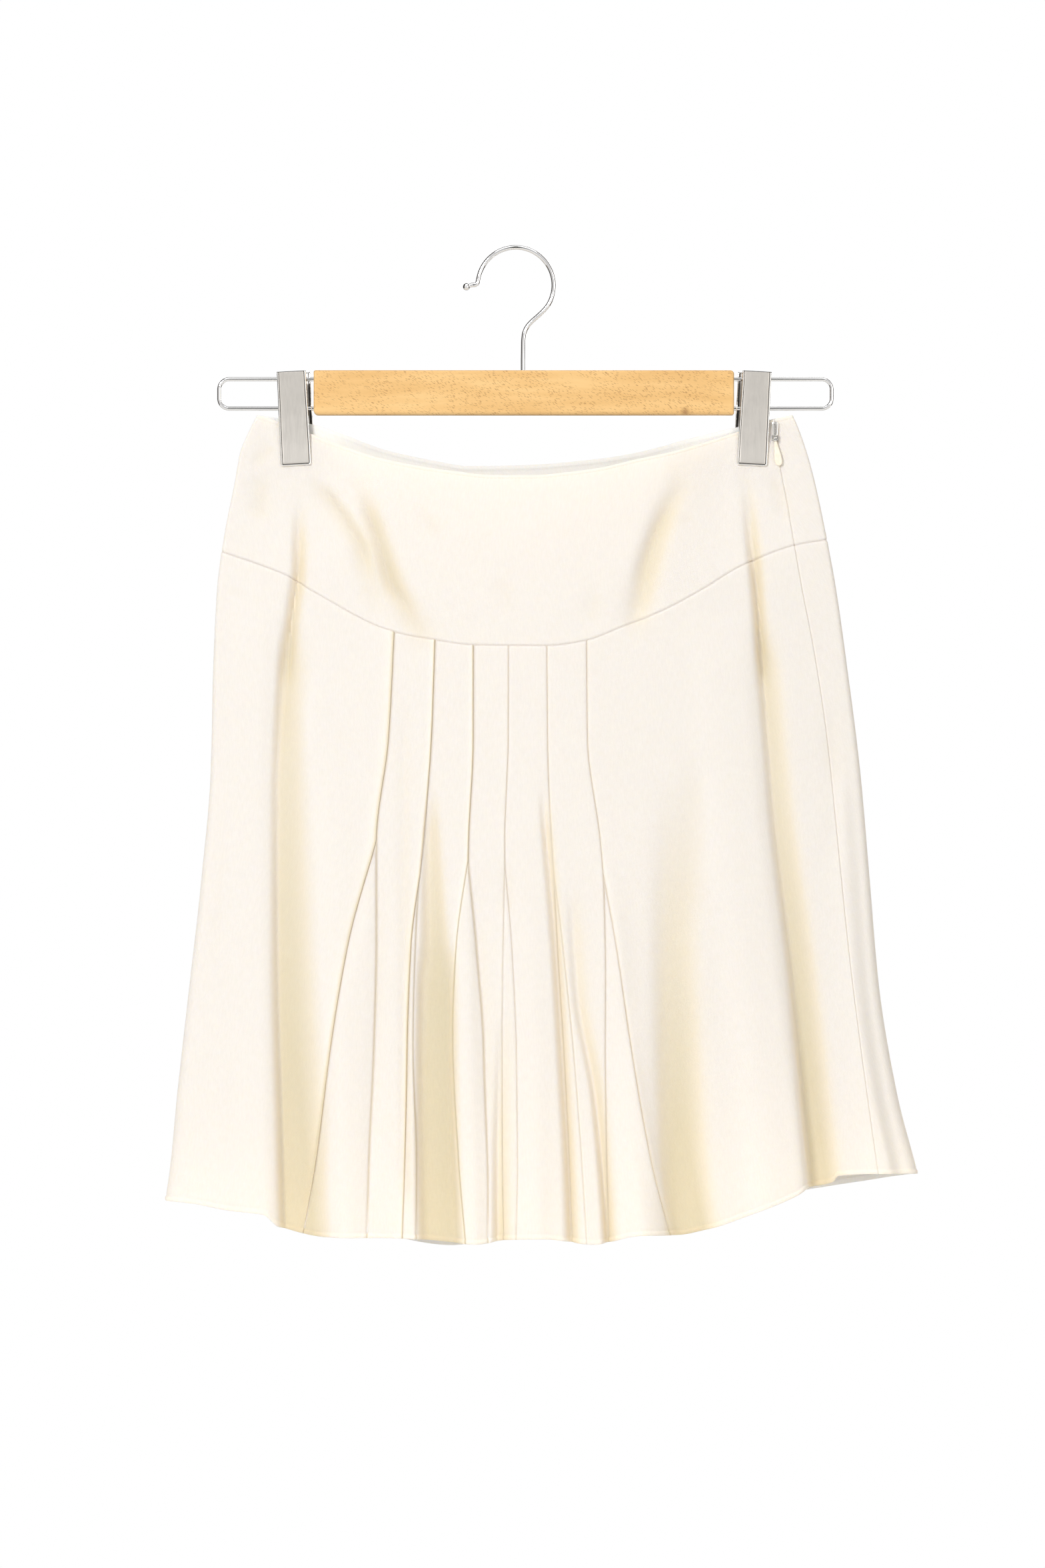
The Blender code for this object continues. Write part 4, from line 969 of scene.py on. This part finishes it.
def build_jaw(name, centre_x, lean, facing, metals):
    """Pressed jaw: a satin face inside a rolled rim, polished and painted brighter as a highlight, a groove
    painted dark as shade, and sides turned back.
    """
    half = JAW_HALF
    top, bottom = JAW[0].drop, JAW[-1].drop
    top_rim, rim = np.array(RIM[:5]), np.array(RIM)
    across = [away - half for away in rim[:, 0]] + list(np.linspace(3.4 - half, half - 3.4, 9))
    across += [half - away for away in rim[::-1, 0]]
    down = [top + away for away in top_rim[:, 0]] + list(np.linspace(top + 3.0, bottom - 3.4, 26))
    down += [bottom - away for away in rim[::-1, 0]]
    points = []
    for drop in down:
        wide = jaw_side(drop, "half_width") / half
        for x in across:
            px, pd = rounded_corner(x, drop, bottom)
            back = float(np.interp(min(half - abs(x), bottom - drop), *rim.T))
            if drop - top < TOP_RIM:
                back = max(back, float(np.interp(drop - top, *top_rim.T)))
            out = jaw_side(pd, "face") + PLATE_PROUD - back * RIM_SHARE
            points.append((centre_x + px * wide + lean * (pd - LOOP_BOTTOM), facing * out, lean * px - pd))
    cols, rows = len(across), len(down)
    count = rows * cols
    faces, slots = [], []
    for r in range(rows - 1):
        for c in range(cols - 1):
            a = r * cols + c
            faces.append((a, a + 1, a + cols + 1, a + cols))
            near = min(half - abs(across[c]), half - abs(across[c + 1]), bottom - down[r + 1])
            in_groove = down[r] - top < TOP_GROOVE or GROOVE_START <= near < GROOVE_END
            # The rim's slot takes steel painted brighter as a highlight, the groove's slot steel painted
            # nearly black as shade
            slots.append(2 if in_groove else 1 if near < GROOVE_START else 0)
    border = list(range(cols)) + [r * cols + cols - 1 for r in range(1, rows)]
    border += range(count - 2, count - cols - 1, -1)
    border += [r * cols for r in range(rows - 2, 0, -1)]
    for index in border:
        x, _, z = points[index]
        drop = min(max(-z, top), bottom)
        from_middle = abs(x - centre_x - lean * (drop - LOOP_BOTTOM))
        on_side = abs(from_middle - jaw_side(drop, "half_width")) < 0.5
        back = jaw_side(drop, "rim") if on_side else jaw_side(drop, "face") - CLIP_SHEET
        points.append((x, facing * back, z))
    for k, (a, b) in enumerate(zip(border, border[1:] + border[:1])):
        faces.append((a, b, count + (k + 1) % len(border), count + k))
        slots.append(1)
    item = make_piece(name + "_plate", points, faces, metals[0], crease=35.0)
    for metal in metals[1:]:
        item.data.materials.append(metal)
    item.data.polygons.foreach_set("material_index", slots)
    shell = item.modifiers.new("sheet", "SOLIDIFY")
    shell.thickness = PLATE_THICK * MM
    shell.offset = -1.0
    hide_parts(name)


def build_spring(name, start, end, material):
    """Coil round the lower wire."""
    wire, radius = SPRING_WIRE, SPRING_OUTSIDE / 2 - SPRING_WIRE
    path = []
    for share in np.linspace(0, 1, SPRING_TURNS * 20 + 1):
        turn = 2 * math.pi * SPRING_TURNS * share
        path.append((start + wire + (end - start - 2 * wire) * share, radius * math.cos(turn),
                     radius * math.sin(turn) - LOOP_BOTTOM))
    points, faces = tube(path, [wire] * len(path), 10)
    item = make_piece(name + "_coil", points, faces, material)
    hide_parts(name)


def build_clips(metals, spring_metal):
    for name, side in (("clip_left", -1), ("clip_right", 1)):
        centre = clip_centre(side, LOOP_BOTTOM)
        lean = (clip_centre(side, CLIP_BOTTOM) - clip_centre(side, CLIP_TOP)) / (CLIP_BOTTOM - CLIP_TOP)
        build_jaw(name + "_front", centre, lean, -1, metals)
        build_jaw(name + "_rear", centre - side * REAR_SHIFT, lean, 1, metals)
        ends = sorted((centre + side * SPRING_OUTWARD, centre - side * SPRING_INWARD))
        build_spring(name + "_spring", *ends, spring_metal)


def build_slider(material):
    """Slider with a waisted body, a bail over it, two lugs and the pin."""
    x, pin_y, pin_z = PIN
    front, top = pin_y + EYE_OUTSIDE / 2 - SLIDER_THICK, -SLIDER_TOP
    points = [(x + px * half, front + py, top - down)
              for down, half in SLIDER_ROWS for px, py in SLIDER_OUTLINE]
    faces = ring_faces(len(SLIDER_ROWS), len(SLIDER_OUTLINE), forward=True)

    def add_wire(path, radius, sides):
        first = len(points)
        more_points, more_faces = tube(path, [radius] * len(path), sides)
        points.extend(more_points)
        faces.extend(tuple(first + index for index in face) for face in more_faces)

    for side in (-1, 1):
        bail = [(x + side * BAIL_ASIDE, front + back, top - down) for back, down in BAIL]
        add_wire(smooth_path(bail, 5), BAIL_RADIUS, 10)
    for side in (-1, 1):
        lug_x = x + side * LUG_ASIDE
        lug = [(lug_x, pin_y - 0.1, top - 9.2), (lug_x, pin_y, pin_z + 0.4), (lug_x, pin_y, pin_z - 0.9)]
        add_wire(smooth_path(lug, 4), LUG_RADIUS, 10)
    add_wire([(x + along, pin_y, pin_z) for along in (-PIN_HALF, 0.0, PIN_HALF)], PIN_THICK / 2, 16)
    item = make_piece("zip_slider_metal", points, faces, material, crease=35.0)
    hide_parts("zip_slider")


def squared(value):
    """A sine or cosine made a little squarer."""
    return math.copysign(abs(value) ** 0.8, value)


def build_pull(enamel, metal):
    """Enamelled teardrop below an eye round the pin."""
    x, y, z = PIN
    lean = math.radians(PULL_LEAN)
    below = np.concatenate([[PULL[0].below], np.linspace(1.6, 17.4, 30), [17.8, 18.0]])
    ring = np.linspace(0, 2 * np.pi, 16, endpoint=False)
    points = []
    for down in below:
        half = float(curve(*np.transpose(PULL), np.array(down)))
        if down > PULL_ROUND:
            half *= math.sqrt(max(1 - ((down - PULL_ROUND) / PULL_ROUND_LONG) ** 2, LEAST_ROUND))
        thick = PULL_THICK / 2 * min(1.0, 0.45 + half / 2.2)
        for turn in ring:
            u, out = half * squared(math.cos(turn)), thick * squared(math.sin(turn))
            points.append((x + u * math.cos(lean) + down * math.sin(lean), y + out,
                           z + u * math.sin(lean) - down * math.cos(lean)))
    faces = ring_faces(len(below), len(ring), forward=True)
    tab = make_piece("zip_pull_tab", points, faces, enamel, crease=60.0, body="zip_pull")
    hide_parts("zip_pull")
    half = SLIDER_WIDE / 2 - LUG_WALL - FIT
    steps = np.linspace(0, 2 * np.pi, 33)[:-1]
    inner, outer = PIN_THICK / 2 + EYE_CLEAR, EYE_OUTSIDE / 2
    profile = ((-half, inner), (-half, outer - EYE_EDGE), (-half + EYE_EDGE, outer),
               (half - EYE_EDGE, outer), (half, outer - EYE_EDGE), (half, inner))
    points = [(x + px, y + radius * math.cos(t), z + radius * math.sin(t))
              for px, radius in profile for t in steps]
    faces = [tuple(index % len(points) for index in face)
             for face in ring_faces(len(profile) + 1, len(steps))[:-2]]
    eye = make_piece("zip_pull_eye", points, faces, metal, crease=35.0, body="zip_pull")


# Materials

def new_material(name):
    """Also gives the place on the object, for textures in metres."""
    material = bpy.data.materials.new(name)
    material.use_nodes = True
    tree = material.node_tree
    position = tree.nodes.new("ShaderNodeTexCoord").outputs["Object"]
    return material, tree, tree.nodes["Principled BSDF"], position


def feed(tree, socket, value):
    """Sets an input to a value, or links it to the output socket given for it."""
    if isinstance(value, bpy.types.NodeSocket):
        tree.links.new(value, socket)
    elif value is not None:
        socket.default_value = value


def feed_all(tree, made, **inputs):
    for name, value in inputs.items():
        feed(tree, made.inputs[name.replace("_", " ")], value)


def node(tree, kind, **inputs):
    made = tree.nodes.new(kind)
    feed_all(tree, made, **inputs)
    return made


def noise(tree, vector, scale, detail=2.0, roughness=0.5):
    return node(tree, "ShaderNodeTexNoise", Vector=vector, Scale=scale, Detail=detail,
                Roughness=roughness).outputs["Fac"]


def bump(tree, height, strength, distance, normal=None):
    return node(tree, "ShaderNodeBump", Strength=strength, Distance=distance, Height=height,
                Normal=normal).outputs["Normal"]


def math_node(tree, operation, *values):
    made = tree.nodes.new("ShaderNodeMath")
    made.operation = operation
    for socket, value in zip(made.inputs, values):
        feed(tree, socket, value)
    return made.outputs[0]


def colour_ramp(tree, value, stops):
    made = tree.nodes.new("ShaderNodeValToRGB")
    ramp_stops = made.color_ramp.elements
    while len(ramp_stops) < len(stops):
        ramp_stops.new(0.5)
    for stop, (place_at, colour) in zip(ramp_stops, stops):
        stop.position = place_at
        stop.color = (*colour, 1.0)
    tree.links.new(value, made.inputs["Fac"])
    return made.outputs["Color"]


def mix_colour(tree, amount, first, second, blend="MIX"):
    made = tree.nodes.new("ShaderNodeMix")
    made.data_type = "RGBA"
    made.blend_type = blend
    for k, value in ((0, amount), (6, first), (7, second)):
        feed(tree, made.inputs[k], (*value, 1.0) if isinstance(value, tuple) else value)
    return made.outputs[2]


def mapping(tree, source, scale, turn=(0.0, 0.0, 0.0)):
    made = node(tree, "ShaderNodeMapping", Vector=source, Scale=scale, Rotation=turn)
    return made.outputs["Vector"]


def cloth_material():
    """Cream crepe: pebbled weave, slight slubs, painted warm shade in the folds and along the seams, and
    painted light inside near the open edges.
    """
    material, tree, shader, position = new_material("cream_crepe")
    uv = tree.nodes.new("ShaderNodeUVMap")
    uv.uv_map = "cut"
    cut = uv.outputs["UV"]
    painted_shade_and_light = tree.nodes.new("ShaderNodeAttribute")
    painted_shade_and_light.attribute_name = "painted_shade_and_light"
    pebble = noise(tree, mapping(tree, cut, (1.0, 0.38, 1.0)), 1100.0, 2.0, 0.6)
    slub = noise(tree, mapping(tree, cut, (900.0, 160.0, 1.0)), 1.0, 3.0)
    yarns = []
    for direction in "XY":
        wave = node(tree, "ShaderNodeTexWave", Vector=cut, Scale=330.0, Distortion=1.2, Detail=1.0)
        wave.bands_direction = direction
        yarns.append(wave.outputs["Fac"])
    weave = math_node(tree, "MULTIPLY", math_node(tree, "MULTIPLY", *yarns), 0.5)
    crepe = bump(tree, math_node(tree, "ADD", weave, pebble), 0.38, 0.0003)
    puckers = bump(tree, noise(tree, position, 26.0, 3.0, 0.55), 0.16, 0.0016, crepe)
    # Painted light and shade: lightest inside near the open edges, then the lit cloth, then painted half
    # shade and painted deep shade
    painted_shade_colour = colour_ramp(tree, painted_shade_and_light.outputs["Fac"], (
        (0.0, CLOTH_PAINTED_LIGHT), (LIT_TONE, CLOTH_LIT), (0.5, CLOTH_PAINTED_HALF_SHADE), (1.0, CLOTH_PAINTED_DEEP_SHADE)))
    thread = colour_ramp(tree, slub, ((0.35, (0.975, 0.972, 0.965)), (0.65, WHITE)))
    feed_all(tree, shader, Normal=puckers, Base_Color=mix_colour(tree, 1.0, painted_shade_colour, thread, "MULTIPLY"),
             Roughness=0.82, Specular_IOR_Level=0.25, Sheen_Weight=0.12, Sheen_Roughness=0.5,
             Subsurface_Weight=0.35, Subsurface_Radius=(1.0, 0.72, 0.42), Subsurface_Scale=0.004)
    return material


def thread_material():
    material, tree, shader, position = new_material("cream_thread")
    twist = noise(tree, position, 2600.0, 1.0)
    colour = colour_ramp(tree, twist, ((0.3, (0.86, 0.79, 0.69)), (0.7, (0.93, 0.87, 0.78))))
    feed_all(tree, shader, Normal=bump(tree, twist, 0.4, 0.0001), Base_Color=colour, Roughness=0.6)
    return material


def wood_material():
    """Pale beech with short dark flecks that lean, soft growth bands and one small knot."""
    material, tree, shader, position = new_material("beech")
    grain = mapping(tree, position, (14.0, 60.0, 120.0), (0.0, 0.12, 0.0))
    bands = noise(tree, grain, 1.0, 4.0, 0.55)
    base = colour_ramp(tree, bands, (
        (0.3, (0.74, 0.45, 0.17)), (0.5, (0.80, 0.51, 0.21)), (0.7, (0.86, 0.58, 0.26))))
    turned = mapping(tree, position, (1.0, 1.0, 1.0), (0.0, math.radians(-28.0), 0.0))
    leaning = mapping(tree, turned, (330.0, 330.0, 1700.0))
    cells = node(tree, "ShaderNodeTexVoronoi", Vector=leaning, Scale=1.0, Randomness=1.0)
    fleck = colour_ramp(tree, cells.outputs["Distance"], ((0.20, WHITE), (0.36, BLACK)))
    shown = colour_ramp(tree, noise(tree, position, 75.0), ((0.30, BLACK), (0.50, WHITE)))
    amount = math_node(tree, "MULTIPLY", math_node(tree, "MULTIPLY", fleck, shown), 0.72)
    flecked = mix_colour(tree, amount, base, (0.33, 0.155, 0.045))
    from_knot = tree.nodes.new("ShaderNodeVectorMath")
    from_knot.operation = "DISTANCE"
    feed(tree, from_knot.inputs[0], position)
    feed(tree, from_knot.inputs[1], KNOT)
    knot = colour_ramp(tree, from_knot.outputs["Value"], ((0.0009, WHITE), (0.0022, BLACK)))
    wood = mix_colour(tree, math_node(tree, "MULTIPLY", knot, 0.75), flecked, (0.26, 0.11, 0.03))
    feed_all(tree, shader, Base_Color=wood, Normal=bump(tree, bands, 0.25, 0.0002), Roughness=0.42,
             Coat_Weight=0.25, Coat_Roughness=0.25)
    return material


def metal_material(name, colour, roughness, brush, wear):
    """Metal with a fine brushed bump and slight blotches in its polish."""
    material, tree, shader, position = new_material(name)
    lines = noise(tree, mapping(tree, position, brush), 1.0, 3.0)
    worn = tuple(c * (1 - wear) for c in colour)
    shade = colour_ramp(tree, noise(tree, position, 120.0, 3.0), ((0.3, worn), (0.7, colour)))
    span = node(tree, "ShaderNodeMapRange", Value=lines, To_Min=roughness * 0.8, To_Max=roughness * 1.25)
    feed_all(tree, shader, Base_Color=shade, Roughness=span.outputs["Result"],
             Normal=bump(tree, lines, 0.06, 0.00008), Metallic=1.0)
    return material


def enamel_material():
    material, tree, shader, position = new_material("cream_enamel")
    soft = noise(tree, position, 260.0)
    colour = colour_ramp(tree, soft, ((0.3, (0.90, 0.82, 0.68)), (0.7, (0.95, 0.90, 0.80))))
    feed_all(tree, shader, Base_Color=colour, Normal=bump(tree, soft, 0.05, 0.0001), Roughness=0.3,
             Coat_Weight=0.4, Coat_Roughness=0.12)
    return material


# Stage

def background(tree, colour, strength):
    return node(tree, "ShaderNodeBackground", Color=colour, Strength=strength).outputs["Background"]


def mix_light(tree, amount, first, second):
    made = node(tree, "ShaderNodeMixShader", Fac=amount)
    feed(tree, made.inputs[1], first)
    feed(tree, made.inputs[2], second)
    return made.outputs["Shader"]


def build_stage():
    """Pale floor below the hanging skirt, white surroundings, soft lights and the camera."""
    material, tree, shader, position = new_material("pale_floor")
    soft = noise(tree, position, 3.0)
    colour = colour_ramp(tree, soft, ((0.3, (0.86, 0.86, 0.85)), (0.7, (0.88, 0.88, 0.87))))
    feed_all(tree, shader, Base_Color=colour, Roughness=0.9)
    mesh = bpy.data.meshes.new("floor")
    corners = [(x * FLOOR_HALF, y * FLOOR_HALF, FLOOR_Z) for x, y in ((-1, -1), (1, -1), (1, 1), (-1, 1))]
    mesh.from_pydata(corners, [], [(0, 1, 2, 3)])
    mesh.materials.append(material)
    floor = bpy.data.objects.new("floor", mesh)
    bpy.context.scene.collection.objects.link(floor)

    world = bpy.data.worlds.new("white surroundings")
    bpy.context.scene.world = world
    world.use_nodes = True
    tree = world.node_tree
    around = tree.nodes["Background"]
    feed_all(tree, around, Color=(1.0, 0.955, 0.87, 1.0), Strength=AMBIENT)
    direction = tree.nodes.new("ShaderNodeTexCoord").outputs["Generated"]
    split = node(tree, "ShaderNodeSeparateXYZ", Vector=direction)
    behind = colour_ramp(tree, math_node(tree, "MULTIPLY_ADD", split.outputs["Y"], 0.5, 0.5), (
        (0.0, WHITE), (0.36, (0.95, 0.95, 0.94)), (0.50, (0.05, 0.048, 0.04)), (0.80, (0.02, 0.02, 0.02))))
    gap = colour_ramp(tree, math_node(tree, "ABSOLUTE", split.outputs["X"]), (
        (0.03, (0.10, 0.10, 0.09)), (0.075, WHITE), (0.60, (0.94, 0.92, 0.90)), (0.80, (0.60, 0.57, 0.54))))
    mirrored = background(tree, mix_colour(tree, 1.0, behind, gap, "MULTIPLY"), MIRRORED)
    seen = background(tree, (1.0, 1.0, 1.0, 1.0), 1.0)
    path = tree.nodes.new("ShaderNodeLightPath")
    lit = mix_light(tree, path.outputs["Is Glossy Ray"], around.outputs["Background"], mirrored)
    shown = mix_light(tree, path.outputs["Is Camera Ray"], lit, seen)
    feed(tree, tree.nodes["World Output"].inputs["Surface"], shown)

    for name, place_at, size, power, colour in LIGHTS:
        light = bpy.data.lights.new(name, "AREA")
        light.shape = "RECTANGLE"
        light.size, light.size_y = size
        light.energy = power
        light.color = colour
        lamp = bpy.data.objects.new(name, light)
        lamp.location = place_at
        lamp.rotation_euler = (Vector(AIM) - Vector(place_at)).to_track_quat("-Z", "Y").to_euler()
        bpy.context.scene.collection.objects.link(lamp)

    lens = bpy.data.cameras.new("camera")
    lens.type = "PERSP"
    lens.sensor_width = SENSOR
    lens.lens = SENSOR * CAMERA_AWAY / VIEW_TALL
    lens.clip_start, lens.clip_end = 0.1, 100.0
    camera = bpy.data.objects.new("camera", lens)
    camera.location = (VIEW_X, -CAMERA_AWAY, VIEW_Z)
    camera.rotation_euler = (math.pi / 2, 0.0, 0.0)
    bpy.context.scene.collection.objects.link(camera)
    bpy.context.scene.camera = camera
    bpy.context.scene.view_settings.view_transform = "Standard"


def main():
    cream = cloth_material()
    thread = thread_material()
    chrome = metal_material("chrome", (0.86, 0.86, 0.87), 0.07, (40.0, 900.0, 900.0), 0.03)
    satin = metal_material("satin_steel", (0.645, 0.62, 0.585), 0.42, (1400.0, 900.0, 30.0), 0.05)
    # The clip's groove is steel painted nearly black as shade; its rim is polished steel that is also
    # painted brighter as a highlight
    groove = metal_material("groove_steel_painted_shade", (0.10, 0.095, 0.09), 0.5, (1400.0, 900.0, 30.0), 0.1)
    rolled = metal_material("polished_rim_painted_highlight", (0.90, 0.89, 0.87), 0.16, (1400.0, 900.0, 30.0), 0.04)
    spring = metal_material("spring_steel", (0.30, 0.29, 0.28), 0.25, (900.0, 900.0, 900.0), 0.2)
    zip_metal = metal_material("zip_metal", (0.80, 0.79, 0.77), 0.18, (900.0, 900.0, 900.0), 0.1)
    build_skirt(cream)
    stitch_row("front_waist_stitches", WAIST, left_side, right_side, thread)
    stitch_row("back_waist_stitches", WAIST, right_side, left_side_from_back, thread)
    build_hook(chrome)
    build_loop("loop_left", LOOP_LEFT, BAR_LEFT, chrome)
    build_loop("loop_right", LOOP_RIGHT, BAR_RIGHT, chrome)
    build_bar(wood_material())
    build_clips((satin, rolled, groove), spring)
    build_slider(zip_metal)
    build_pull(enamel_material(), zip_metal)
    build_stage()


main()
